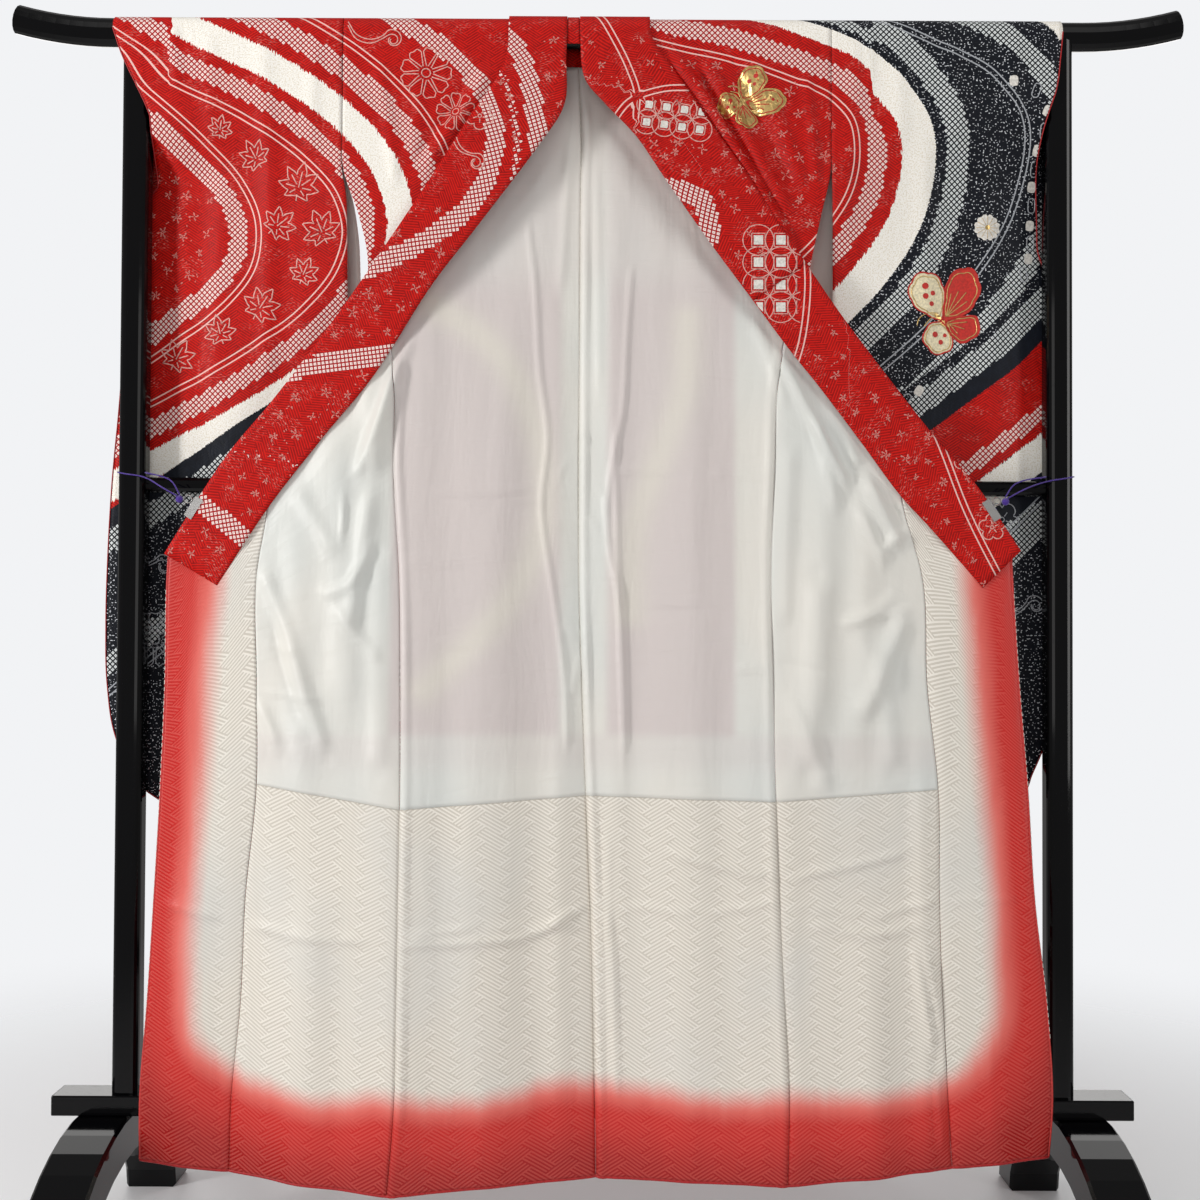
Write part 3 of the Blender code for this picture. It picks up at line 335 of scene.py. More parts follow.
END_LEFT = metres(((-700, 600), (-600, 672), (-530, 730), (-440, 800)))
ROUND_RIGHT = metres((
    (-300, -100), (-50, -35), (113, 16), (200, 35), (285, 63), (355, 95), (392, 140), (402, 205),
    (388, 268), (352, 325), (300, 380), (200, 450), (50, 520), (-100, 600), (-250, 720), (-500, 850),
    (-900, 950),
))
RIVER_RIGHT = metres((
    (200, -120), (360, -50), (485, 6), (570, 52), (612, 118), (620, 190), (604, 270), (560, 350),
    (490, 432), (410, 505), (280, 600),
))
LOWER_RIGHT = metres((
    (850, 190), (750, 300), (680, 372), (632, 418), (590, 462), (530, 508), (460, 560), (360, 630),
    (200, 740),
))
FOOT_RIGHT = metres((
    (200, 800), (300, 840), (400, 860), (500, 840), (580, 790), (680, 700), (800, 560),
))
CHEVRON_RIGHT = metres(((-20, 235), (85, 250), (150, 272), (160, 310), (120, 380), (60, 460)))
NECK_RIGHT = metres(((-30, -30), (4, 4), (27, 42), (46, 82), (56, 112), (55, 150)))
FRAME_RIGHT = metres(((20, 160), (45, 128), (90, 110), (150, 108), (300, 120)))
RULE_RIGHT = metres(((290, 270), (300, 400), (292, 470), (240, 600)))
END_RIGHT = metres(((360, 300), (455, 540), (490, 620), (525, 710), (570, 800), (640, 920)))
HILL_BACK = metres((
    (-1000, 980), (-600, 950), (-350, 930), (-150, 1000), (20, 1120), (200, 1180), (400, 1160),
    (620, 1240), (900, 1400),
))

# The line where the skirt lining's dye has half faded: across and height, left edge round to the right
DYE_LINE = metres((
    (-540, 1100), (-552, 920), (-561, 840), (-566, 700), (-575, 560), (-583, 400), (-566, 288),
    (-518, 244), (-430, 213), (-365, 203), (-295, 213), (-212, 202), (-120, 208), (-40, 224), (10, 219),
    (110, 211), (192, 202), (263, 210), (355, 207), (462, 218), (522, 242), (571, 306), (580, 440),
    (570, 600), (556, 760), (545, 920), (532, 1100),
))
# Pale bands of the outer silk seen through the lining: across and height
GHOST_LINES = metres((
    ((-250, 1350), (-150, 1280), (-85, 1160), (-75, 1030), (-120, 920), (-240, 790)),
    ((130, 1320), (125, 1220), (90, 1120), (55, 1020), (50, 900)),
))

# Tucks in the sleeves: across, side on which the pattern is shifted, shift up, and where it fades out
TUCKS = {"left": (-0.6137, -1, 0.024, 0.045, 0.115), "right": (0.3915, 1, -0.032, 0.100, 0.230)}

# The guide lines that each dyed piece keeps its distance from
LAYOUTS = {
    "sleeve_left": {
        "flow_a": [HAIRPIN_LEFT], "flow_b": [SWEEP_LEFT], "flow_c": [NIGHT_LEFT], "flow_d": [LOWER_LEFT],
    },
    "sleeve_right": {
        "flow_a": [ROUND_RIGHT], "flow_b": [RIVER_RIGHT], "flow_c": [LOWER_RIGHT], "flow_d": [FOOT_RIGHT],
    },
    "body_left": {
        "flow_a": [SHOULDER_LEFT], "flow_b": [SWEEP_LEFT], "flow_c": [ROUND_RIGHT], "flow_d": [HILL_BACK],
    },
    "body_right": {"flow_a": [ROUND_RIGHT], "flow_b": [RIVER_RIGHT], "flow_d": [HILL_BACK]},
    "front": {"flow_d": [HILL_BACK]},
    "collar_left": {"flow_a": [SHOULDER_LEFT, NECK_LEFT, CROSSING_LEFT, END_LEFT]},
    "collar_right": {
        "flow_a": [CHEVRON_RIGHT],
        "flow_b": [NECK_RIGHT, FRAME_RIGHT, RULE_RIGHT, END_RIGHT],
    },
}

# What each band is and where it lies from its guide line: kind, field, from, to
FAR = 9.0
CREAM_START = 0.036
SWEEP = (
    ("pink lines", "flow_b", -0.030, -0.022),
    ("pink dots", "flow_b", -0.006, 0.020),
    ("cream", "flow_b", CREAM_START, 0.076),
    ("pink dots", "flow_b", 0.094, 0.124),
    ("pink lines", "flow_b", 0.140, 0.148),
)
ROUND = (
    ("pink lines", "flow_a", -0.034, -0.026),
    ("pink dots", "flow_a", -0.014, 0.014),
    ("cream", "flow_a", CREAM_START, 0.092),
    ("night", "flow_a", 0.085, 0.101),
    ("night", "flow_a", 0.101, FAR),
    ("grey dots", "flow_a", 0.101, 0.135),
)
HILL = (
    ("red", "flow_d", -FAR, 0.0),
    ("grey dots", "flow_d", -0.016, 0.016),
    ("cream", "flow_d", -0.060, -0.032),
    ("pink dots", "flow_d", -0.105, -0.078),
    ("pink lines", "flow_d", -0.130, -0.122),
)
FOOT = (
    ("grey dots", "flow_d", -0.014, 0.014),
    ("grey lines", "flow_d", 0.026, 0.034),
)
BANDS = {
    "sleeve_left": (
        ("pink dots", "flow_a", -0.014, 0.014),
        ("pink lines", "flow_a", 0.026, 0.034),
        *SWEEP,
        ("black", "flow_c", 0.0, 0.024),
        ("night", "flow_c", 0.024, FAR),
        ("grey dots", "flow_c", 0.024, 0.056),
        *FOOT,
    ),
    "sleeve_right": (
        *ROUND,
        ("grey lines", "flow_b", -0.004, 0.004),
        ("grey dots", "flow_b", 0.040, 0.072),
        ("cream", "flow_b", 0.105, 0.16),
        ("night", "flow_c", -0.03, FAR),
        ("grey dots", "flow_c", -0.016, 0.016),
        ("black", "flow_c", 0.016, 0.040),
        ("red", "flow_c", 0.040, 0.140),
        ("pink dots", "flow_c", 0.105, 0.127),
        ("cream", "flow_c", 0.140, 0.192),
        ("black", "flow_c", 0.185, 0.215),
        ("grey dots", "flow_c", 0.215, 0.250),
        *FOOT,
    ),
    "body_left": (
        *SWEEP,
        ("pink dots", "flow_a", -0.014, 0.014),
        ("pink dots", "flow_c", -0.014, 0.014),
        ("cream", "flow_c", CREAM_START, 0.092),
        ("black", "flow_c", 0.085, 0.101),
        ("night", "flow_c", 0.101, FAR),
        ("grey dots", "flow_c", 0.101, 0.135),
        *HILL,
    ),
    "body_right": (*ROUND, *HILL),
    "front": HILL,
    "collar_left": (("pink dots", "flow_a", -0.014, 0.014),),
    "collar_right": (
        ("pink dots", "flow_a", -0.015, 0.015),
        ("pink lines", "flow_b", -0.004, 0.004),
    ),
}

# Finishes that are linings: a cloth piece in one gets the lining's wall and a name ending in _satin
LINING_SLOTS = {"lining": "white_lining", "skirt": "skirt_lining"}

# Lengths and widths that the grids are counted from, the gap between the collar table's rows, and
# the rows over the rail
BACK_LENGTH, SKIRT_LENGTH, FRONT_LENGTH, OKUMI_LENGTH = 1.11, 0.53, 0.71, 0.48
FRONT_WIDTH, COLLAR_WIDTH, NAPE_WIDTH, SLEEVE_WIDTH = 0.27, 0.10, 0.20, 0.35
STATION_GAP = 0.075
CROWN_ROWS = 8
# Lowest points of the upper fronts, the collar behind the neck and its turned edge
FRONT_FOOT, NAPE_FOOT, TURN_FOOT = 1.37, 1.665, 1.716
# How far the fronts' silk lies behind its seam lines, and the collar's part at the nape
FRONT_LIFT = 0.0018
NAPE_ENDS, NAPE_GAP = (-0.1275, 0.0745), 0.0016
# Fullness of the linings, with slow and fine waves in it, their pressed creases and rolled seams
FULLNESS, SLOW_WAVE, FINE_WAVE = 0.0026, 0.0011, 0.0005
CREASE_GAIN = 1.6
SEAM_ROLL = 0.0034
GHOST_HALF_WIDTH = 0.024
# How far the sleeves' back layers hang out, and are pulled past the posts
SLEEVE_BELLY, SLEEVE_PULL, POST_REACH = 0.014, 0.016, 0.6425
ARMHOLE_PULL = 0.014
# Where that belly starts and over what lengths it fades at the top and the foot, and the heights
# between which the front layer stops following the post
BELLY_TOP, BELLY_FADE, TUCKED_BELOW = 1.60, (0.3, 0.12), (1.38, 1.44)
# Stretches, each as where it starts, is full, ends and is gone: heights of the sleeves at the posts
# and at the armhole, and places across where the lining shows the silk behind it
POST_STRETCH, ARMHOLE_STRETCH = (0.66, 0.74, 1.60, 1.64), (1.28, 1.36, 1.58, 1.66)
SHEER_STRETCHES = ((-0.296, -0.280, -0.060, -0.040), (0.008, 0.026, 0.190, 0.206))
# How near the collar the linings' folds fade out
COLLAR_CLEAR = (0.004, 0.026)

# Wall of the dye lines and stitches pressed on the cloth
PRESSED_WALL = 0.0002

# Pitch of the figured weaves, and how a grid on the bias is scaled
SILK_FRET, SKIRT_FRET = 0.0042, 0.0054
BIAS = math.sqrt(0.5)
THREADS = {
    "red_edge": (176, 28, 30),
    "pink_dye_lines": (240, 178, 168),
    "faint_dye_sprigs": (230, 142, 132),
    "grey_dye_lines": (178, 182, 188),
    "white_thread": (236, 232, 224),
    "red_thread": (206, 44, 34),
    "cream_thread": (246, 234, 196),
    "lining_seam_thread": (206, 200, 188),
    "skirt_edge_thread": (206, 60, 56),
}

# Camera: tilt up and roll, place across and height
CAMERA_PITCH, CAMERA_ROLL = math.radians(1.2), math.radians(0.28)
CAMERA_ACROSS, CAMERA_HEIGHT = 0.007, 0.872
# Lights: name, place, width and height, share of the key power, what they point at
LIGHTS = (
    ("key_left", (-2.5, -1.4, 1.5), (0.30, 1.8), 1.6, (0, 0, 0.9)),
    ("key_right", (2.2, -1.7, 1.5), (0.35, 2.2), 0.50, (0, 0, 0.85)),
    ("front_soft", (-0.4, -3.6, 1.3), (1.6, 1.6), 0.5, (0, 0, 0.6)),
    ("top_soft", (0.0, -0.9, 3.2), (2.6, 1.2), 0.35, (0, 0, 0.6)),
    ("back_left", (-1.6, 2.4, 1.9), (1.2, 2.0), 0.5, (0, 0, 0.95)),
    ("back_right", (1.6, 2.4, 1.9), (1.2, 2.0), 0.5, (0, 0, 0.95)),
)

# Dyed motifs: finish, share of the line width, then by piece the shape, its place across and down
# from the rail's crown and its size in millimetres, and its turn in degrees
MOTIFS = {
    "dyed_leaves": ("pink_dye_lines", 1.0, {
        "sleeve_front_left": (
            ("maple", -542, 168, 20, 12), ("maple", -492, 206, 26, -28),
            ("maple", -430, 248, 34, 16), ("maple", -462, 302, 29, 52),
            ("maple", -396, 312, 32, -22), ("maple", -424, 372, 25, 24),
            ("maple", -488, 420, 32, 36), ("maple", -546, 456, 27, -14),
            ("maple", -612, 492, 30, 30),
        ),
        "sleeve_back_left": (
            ("maple", -580, 134, 30, 20), ("maple", -494, 206, 32, -35),
            ("maple", -430, 272, 32, 10), ("maple", -404, 340, 29, -25),
            ("maple", -486, 416, 31, 40), ("maple", -600, 482, 31, 30),
        ),
    }),
    "dyed_blossoms": ("pink_dye_lines", 0.9, {
        "shoulder_front_left": (
            ("chrysanthemum", -246, 86, 38, 10), ("chrysanthemum", -203, 142, 29, 40),
            ("scroll", -322, 46, 45, 15),
        ),
        "over_collar_left": (
            ("scroll", -196, 205, 40, 60), ("plum", -168, 150, 20, 0),
        ),
        "body_back_left": (
            ("chrysanthemum", -215, 330, 46, 0), ("chrysanthemum", -145, 395, 38, 30),
            ("plum", -250, 420, 26, 20), ("scroll", -130, 290, 55, -30),
        ),
        "body_back_right": (
            ("plum", 120, 170, 24, 10), ("plum", 170, 215, 20, 40),
        ),
        "collar_right": (
            ("plum", 528, 640, 20, 0), ("plum", 562, 735, 19, 30), ("scroll", 515, 590, 30, 70),
        ),
    }),
    "night_blossoms": ("grey_dye_lines", 0.9, {
        "sleeve_front_left": (
            ("chrysanthemum", -640, 900, 40, 0), ("chrysanthemum", -560, 965, 50, 30),
            ("scroll", -660, 800, 50, 20), ("plum", -480, 720, 30, 30),
        ),
        "sleeve_back_left": (
            ("chrysanthemum", -610, 930, 52, 0), ("chrysanthemum", -500, 985, 46, 30),
            ("plum", -430, 700, 32, 30), ("scroll", -620, 770, 60, 20),
        ),
        "sleeve_front_right": (
            ("plum", 590, 720, 26, 0), ("chrysanthemum", 560, 930, 46, 0),
            ("scroll", 615, 860, 45, 0),
        ),
        "sleeve_back_right": (
            ("chrysanthemum", 540, 960, 50, 0), ("chrysanthemum", 440, 930, 40, 20),
            ("plum", 590, 240, 26, 0),
        ),
        "body_back_left": (
            ("chrysanthemum", -120, 860, 55, 0), ("plum", -225, 840, 34, 20),
        ),
        "body_back_right": (
            ("chrysanthemum", 130, 760, 60, 0), ("chrysanthemum", 225, 845, 48, 25),
            ("plum", 70, 900, 34, 10), ("scroll", 180, 960, 70, 0),
        ),
    }),
}

# Boxes of sprigs: piece, left, right, top and bottom, gap between sprigs, their size, in
# millimetres. A box's place in the table seeds its draws
SPRIG_BOXES = (
    ("sleeve_front_left", -648, -545, 230, 405, 34, 8.5),
    ("sleeve_back_left", -690, -545, 170, 430, 36, 8.5),
    ("shoulder_front_right", 90, 330, 75, 345, 40, 9.5),
    ("sleeve_front_right", 340, 375, 160, 330, 36, 8.5),
    ("sleeve_front_right", 470, 640, 560, 640, 38, 9.5),
    ("over_collar_left", -140, -50, 40, 200, 36, 8),
    ("over_collar_left", -300, -150, 290, 460, 38, 8.5),
    ("collar_left", -520, -250, 400, 700, 38, 9), ("collar_left", -620, -460, 690, 840, 36, 8.5),
    ("over_collar_right", -10, 110, 40, 230, 36, 8.5),
    ("over_collar_right", 110, 230, 200, 370, 36, 8.5), ("collar_right", 300, 470, 460, 640, 37, 9),
    ("collar_right", 440, 560, 640, 820, 37, 9), ("body_back_left", -340, -60, 500, 640, 45, 10),
    ("body_back_right", 10, 320, 60, 400, 45, 10), ("body_back_left", -200, -30, 80, 260, 45, 10),
    ("body_back_left", -280, -20, 1280, 1620, 50, 11),
    ("body_back_right", 0, 280, 1330, 1620, 50, 11),
)

# Linked rings: piece, across, down, ring size, columns, rows, turn, then the panel's left, right,
# top and bottom
SHIPPO_PANELS = (
    ("over_collar_right", 0.110, 0.150, 0.0255, 4, 2, 8, 0.056, 0.178, 0.124, 0.190),
    ("collar_right", 0.262, 0.375, 0.0320, 3, 4, 0, 0.200, 0.292, 0.300, 0.480),
    ("over_collar_right", 0.262, 0.375, 0.0320, 3, 4, 0, 0.200, 0.292, 0.300, 0.480),
    ("body_back_left", -0.160, 1.185, 0.0380, 6, 3, 10, -0.30, -0.02, 1.05, 1.40),
)
# Pebbles and ovals by turns down the dark sleeve: across and down in millimetres, turn
PEBBLES = (
    (596, 94, 0), (629, 107, 20), (645, 136, 25), (642, 163, 0), (635, 188, 10), (634, 212, 0),
    (632, 236, 5), (633, 262, 0), (631, 291, 5), (632, 316, 0), (629, 339, 0), (622, 362, -10),
    (468, 534, 30), (448, 548, 40), (430, 556, 30),
)

# Embroidered butterflies: piece, across, down, size, turn, which way they face, thread
BUTTERFLIES = (
    ("sleeve_front_right", 0.500, 0.432, 0.064, -18, 1, "cream"),
    ("shoulder_front_right", 0.206, 0.124, 0.047, 40, 1, "gold"),
    ("sleeve_back_right", 0.480, 0.470, 0.064, 15, -1, "cream"),
    ("body_back_left", -0.190, 0.690, 0.060, -20, 1, "gold"),
    ("body_back_right", 0.215, 0.545, 0.062, 20, -1, "cream"),
    ("sleeve_back_left", -0.440, 0.830, 0.050, 10, 1, "cream"),
)
# A butterfly's parts in shares of its size: wings with their scallops, spots with their radii,
# vein ends and feelers
WINGS = (
    (
        (0, 0), (-0.34, 0.28), (-0.52, 0.66), (-0.40, 1.0), (-0.06, 1.10), (0.20, 0.90),
        (0.22, 0.46), (0, 0),
    ),
    (
        (0.04, 0), (0.24, 0.46), (0.50, 0.86), (0.92, 0.92), (1.06, 0.62), (0.88, 0.20),
        (0.48, -0.02), (0.04, 0),
    ),
    (
        (0, -0.02), (-0.34, -0.04), (-0.52, -0.32), (-0.36, -0.64), (-0.04, -0.68), (0.13, -0.42),
        (0, -0.02),
    ),
    (
        (0.08, -0.04), (0.48, -0.06), (0.78, -0.20), (0.66, -0.54), (0.30, -0.58), (0.14, -0.40),
        (0.08, -0.04),
    ),
)
SCALLOPS, SCALLOP_DEPTH = (7, 7, 5, 5), 0.12
SPOTS = (
    (-0.14, 0.84, 0.075), (-0.20, 0.62, 0.07), (-0.02, 0.64, 0.06), (-0.12, 0.42, 0.06),
    (-0.24, -0.26, 0.07), (-0.16, -0.46, 0.06), (-0.02, -0.34, 0.05), (0.72, 0.62, 0.06),
    (0.86, 0.70, 0.05),
)
VEINS = (
    ((0.14, 0.06), ((0.40, 0.52), (0.58, 0.52), (0.74, 0.44), (0.70, 0.24))),
    ((0.16, -0.12), ((0.56, -0.20), (0.46, -0.34), (0.28, -0.40))),
)
FEELERS = (
    (((-0.02, 0.18), (-0.30, 0.24), (-0.52, 0.16), (-0.58, 0.04)), 12),
    (((-0.02, 0.12), (-0.26, 0.10), (-0.44, -0.02)), 10),
)
# Embroidered white flowers: piece, across, down, size
FLOWERS = (
    ("sleeve_front_right", 0.566, 0.297, 0.0195), ("sleeve_front_right", 0.392, 0.520, 0.0180),
    ("sleeve_front_right", 0.470, 0.690, 0.0170), ("sleeve_back_right", 0.566, 0.297, 0.0200),
    ("sleeve_back_right", 0.420, 0.640, 0.0200), ("body_back_right", 0.110, 0.640, 0.0210),
    ("body_back_right", 0.300, 0.700, 0.0190), ("body_back_left", -0.060, 0.830, 0.0200),
)

# Seam threads of the linings: two edges that meet, and whose seam it is. They end above the hem
SEAM_THREADS = (
    ("lining_back_left", "right", "lining_back_right", "left", "lining"),
    ("hakkake_back_left", "right", "hakkake_back_right", "left", "skirt"),
    ("lining_back_left", "bottom", "hakkake_back_left", "top", "lining"),
    ("lining_back_right", "bottom", "hakkake_back_right", "top", "lining"),
    ("lining_front_left", "bottom", "hakkake_front_left", "top", "lining"),
    ("lining_front_right", "bottom", "hakkake_front_right", "top", "lining"),
    ("hakkake_back_left", "left", "hakkake_front_left", "right", "skirt"),
    ("hakkake_back_right", "right", "hakkake_front_right", "left", "skirt"),
)
SEAM_THREAD_END = 0.245
STITCHES_LOW, STITCHES_HIGH, STITCH_POINTS = 0.30, 0.93, 320

# Filled as the pieces are made: outer faces of the cloth, their search trees, and the materials
SURFACES, TREES, FINISHES = {}, {}, {}


def read_smooth(keys, values, at):
    """Values read at any place between their keys, by a cubic through them."""
    keys, values = np.array(keys, float), np.array(values, float)
    if keys[0] > keys[-1]:
        keys, values = keys[::-1], values[::-1]
    slopes = np.gradient(values, keys)
    at = np.clip(np.asarray(at, float), keys[0], keys[-1])
    step = np.clip(np.searchsorted(keys, at, side="right") - 1, 0, len(keys) - 2)
    span = keys[step + 1] - keys[step]
    t = (at - keys[step]) / span
    start = (1 + 2 * t) * (1 - t) ** 2 * values[step] + t * (1 - t) ** 2 * span * slopes[step]
    end = t * t * (3 - 2 * t) * values[step + 1] + t * t * (t - 1) * span * slopes[step + 1]
    return start + end


def eased(value, low, high):
    share = np.clip((value - low) / (high - low), 0, 1)
    return share * share * (3 - 2 * share)


def over_stretch(value, first, full, last, gone):
    """1 within a stretch and 0 outside it, eased at both ends."""
    return eased(value, first, full) * (1 - eased(value, last, gone))


def reach_along(line):
    """How far along a line each of its points lies."""
    return np.concatenate([[0], np.cumsum(np.linalg.norm(np.diff(line, axis=0), axis=1))])


def smooth_line(points, count=160):
    """A line drawn smoothly through its own few points."""
    points = np.array(points, float)
    chord = reach_along(points)
    at = np.linspace(0, chord[-1], count)
    return np.stack([read_smooth(chord, column, at) for column in points.T], axis=1)


def spread_evenly(line, count):
    length = reach_along(line)
    wanted = np.linspace(0, length[-1], count)
    return np.stack([np.interp(wanted, length, column) for column in line.T], axis=1)


def stepped_out(line, step):
    """A line's points spaced evenly, a step apart or less."""
    line = np.array(line, float)
    return spread_evenly(line, max(2, math.ceil(reach_along(line)[-1] / step) + 1))


def distance_to(line, across, along):
    """Signed distance of each point to a line, positive on the left hand of its run."""
    starts, ends = line[:-1], line[1:]
    run = ends - starts
    spot = np.stack([across.ravel(), along.ravel()], axis=1)
    best = np.full(len(spot), 1e9)
    signed = np.zeros(len(spot))
    for start, step in zip(starts, run):
        offset = spot - start
        share = np.clip((offset @ step) / (step @ step), 0, 1)
        apart = offset - share[:, None] * step
        gap = np.hypot(apart[:, 0], apart[:, 1])
        turn = step[0] * apart[:, 1] - step[1] * apart[:, 0]
        nearer = gap < best - 1e-9
        best = np.where(nearer, gap, best)
        signed = np.where(nearer, np.where(turn < 0, gap, -gap), signed)
    return signed.reshape(across.shape)


def fold_height(folds, across, height):
    """How far the folds lift the cloth towards the viewer at a point of its face."""
    total = np.zeros_like(across)
    for top_x, top_z, bottom_x, bottom_z, half_width, lift in folds:
        run = np.array([bottom_x - top_x, bottom_z - top_z])
        length = np.hypot(*run)
        along = ((across - top_x) * run[0] + (height - top_z) * run[1]) / length**2
        aside = ((across - top_x) * run[1] - (height - top_z) * run[0]) / length
        fade = np.clip(along / 0.25, 0, 1) * np.clip((1 - along) / 0.20, 0, 1)
        fade = fade * fade * (3 - 2 * fade)
        total += lift * fade * np.exp(-((aside / half_width) ** 2))
    return total


def with_folds(points, folds):
    lifted = points.copy()
    lifted[:, :, 1] -= fold_height(folds, points[:, :, 0], points[:, :, 2])
    return lifted


def ridge_height(ridges, across, height):
    """How far long soft folds stand out."""
    total = np.zeros_like(across)
    for points, half_width, lift in ridges:
        gap = distance_to(smooth_line(points, 30), across, height)
        ends = np.minimum(*(np.hypot(across - x, height - z) for x, z in (points[0], points[-1])))
        total += lift * np.exp(-((gap / half_width) ** 2)) * eased(ends, 0.0, 0.035)
    return total


def grid_normals(points):
    down, right = np.gradient(points, axis=(0, 1))
    normals = np.cross(right, down)
    return normals / np.linalg.norm(normals, axis=2, keepdims=True)


def row_count(length, spacing):
    return max(2, int(round(length / spacing)) + 1)


def shares(length, spacing):
    """Shares from 0 to 1, close enough for cloth of this length and spacing."""
    return np.linspace(0, 1, row_count(length, spacing))


def heights_down(foot, spacing):
    """Heights from the rail's middle down to a foot."""
    return np.linspace(RAIL_HEIGHT, foot, row_count(RAIL_HEIGHT - foot, spacing))


def between(left, right, columns, left_gap=SEAM / 2, right_gap=SEAM / 2):
    """A grid between two edge lines, each edge held back by half a seam or more."""
    width = np.linalg.norm(right - left, axis=1, keepdims=True)
    start = np.minimum(left_gap / width, 0.2)
    end = np.minimum(right_gap / width, 0.2)
    share = np.linspace(0, 1, columns)[None, :] * (1 - start - end) + start
    return left[:, None, :] * (1 - share[:, :, None]) + right[:, None, :] * share[:, :, None]


def edge_points(heights, across, depth, at):
    """Points of an edge line at the heights asked for."""
    return np.stack([read_smooth(heights, across, at), read_smooth(heights, depth, at), at], axis=1)


def seam_points(name, upper, lower):
    """Points down one seam line: rows above where the two linings meet, then rows below."""
    line, top, middle, hem = HEIGHTS[name]
    heights = np.concatenate([top + (middle - top) * upper, middle + (hem - middle) * lower[1:]])
    return edge_points(*line, heights)


def seam_pair(side, first, second, upper, lower, spacing, gaps=(BENT_SEAM, BENT_SEAM)):
    """A grid between two named seam lines, in the order from left to right on the left side."""
    left = seam_points(first, upper, lower)
    right = seam_points(second, upper, lower)
    if side == "right":
        left, right = right, left
        gaps = gaps[::-1]
    columns = max(4, int(round(np.linalg.norm(right - left, axis=1).max() / spacing)) + 1)
    return with_folds(between(left, right, columns, *gaps), BODY_FOLDS)


def over_rail(sheet, radius, side, ends=None):
    """A sheet with rows set before it, from the rail's crown down one side: side 1 is the back."""
    columns = sheet.shape[1]
    across = np.linspace(*(ends or (sheet[0, 0, 0], sheet[0, -1, 0])), columns)
    rows = []
    for turn in np.radians(np.linspace(89.6, 90 / CROWN_ROWS, CROWN_ROWS)):
        depth = np.full(columns, side * radius * math.cos(turn))
        height = np.full(columns, RAIL_HEIGHT + radius * math.sin(turn))
        rows.append(np.stack([across, depth, height], axis=1))
    return np.concatenate([np.array(rows), sheet])


def with_slope(field, across, along):
    """A field with its slope per metre of the cloth's own two directions, three numbers a point."""
    field_down, field_right = np.gradient(field)
    across_down, across_right = np.gradient(across)
    along_down, along_right = np.gradient(along)
    area = across_right * along_down - across_down * along_right
    area = np.where(np.abs(area) < 1e-12, 1e-12, area)
    slope_across = (field_right * along_down - field_down * along_right) / area
    slope_along = (field_down * across_right - field_right * across_down) / area
    return np.stack([field, slope_across, slope_along], axis=-1)


def grain(points, start_along=0.0):
    """Metres across and along the cloth at each grid point."""
    steps_along = np.linalg.norm(np.diff(points, axis=0), axis=2).mean(axis=1)
    along = start_along + np.concatenate([[0], np.cumsum(steps_along)])
    return points[:, :, 0].copy(), np.repeat(along[:, None], points.shape[1], axis=1)


def fold_fields(points, bands, tuck=None, thinned=None):
    """Distances of a piece's points to the guide lines of its bands, and the cloth's own metres."""
    across = points[:, :, 0]
    along = BODY_CROWN - points[:, :, 2]
    if tuck:
        edge, hand, shift, start, end = tuck
        above = 1 - eased(along, start, end)
        along = along + np.where((across - edge) * hand > 0, shift, 0.0) * above
    grain_across, grain_along = grain(points, along[0].mean())
    fields = {}
    for name, guides in LAYOUTS[bands].items():
        best = None
        for guide in guides:
            gap = distance_to(smooth_line(guide), across, along)
            best = gap if best is None else np.where(np.abs(gap) < np.abs(best), gap, best)
        if thinned is not None and name == "flow_a":
            beyond = best - CREAM_START
            near_top = (across < thinned) * (1 - eased(along, 0.05, 0.12))
            best = np.where(beyond > 0, best + beyond * 1.2 * near_top, best)
        fields[name] = with_slope(best, grain_across, grain_along)
    return fields, grain_across, grain_along


def mesh_from(shape, name):
    mesh = bpy.data.meshes.new(name)
    shape.to_mesh(mesh)
    shape.free()
    return mesh


def add_piece(name, data, finish, wall=0.0, offset=0.0):
    """An object that rides on the part, with its material and its wall where it needs one."""
    data.materials.append(finishes()[finish])
    piece = bpy.data.objects.new(name, data)
    bpy.context.scene.collection.objects.link(piece)
    if wall:
        thick = piece.modifiers.new("Wall", "SOLIDIFY")
        thick.thickness = wall
        thick.offset = offset
    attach(piece, "root")
    return piece


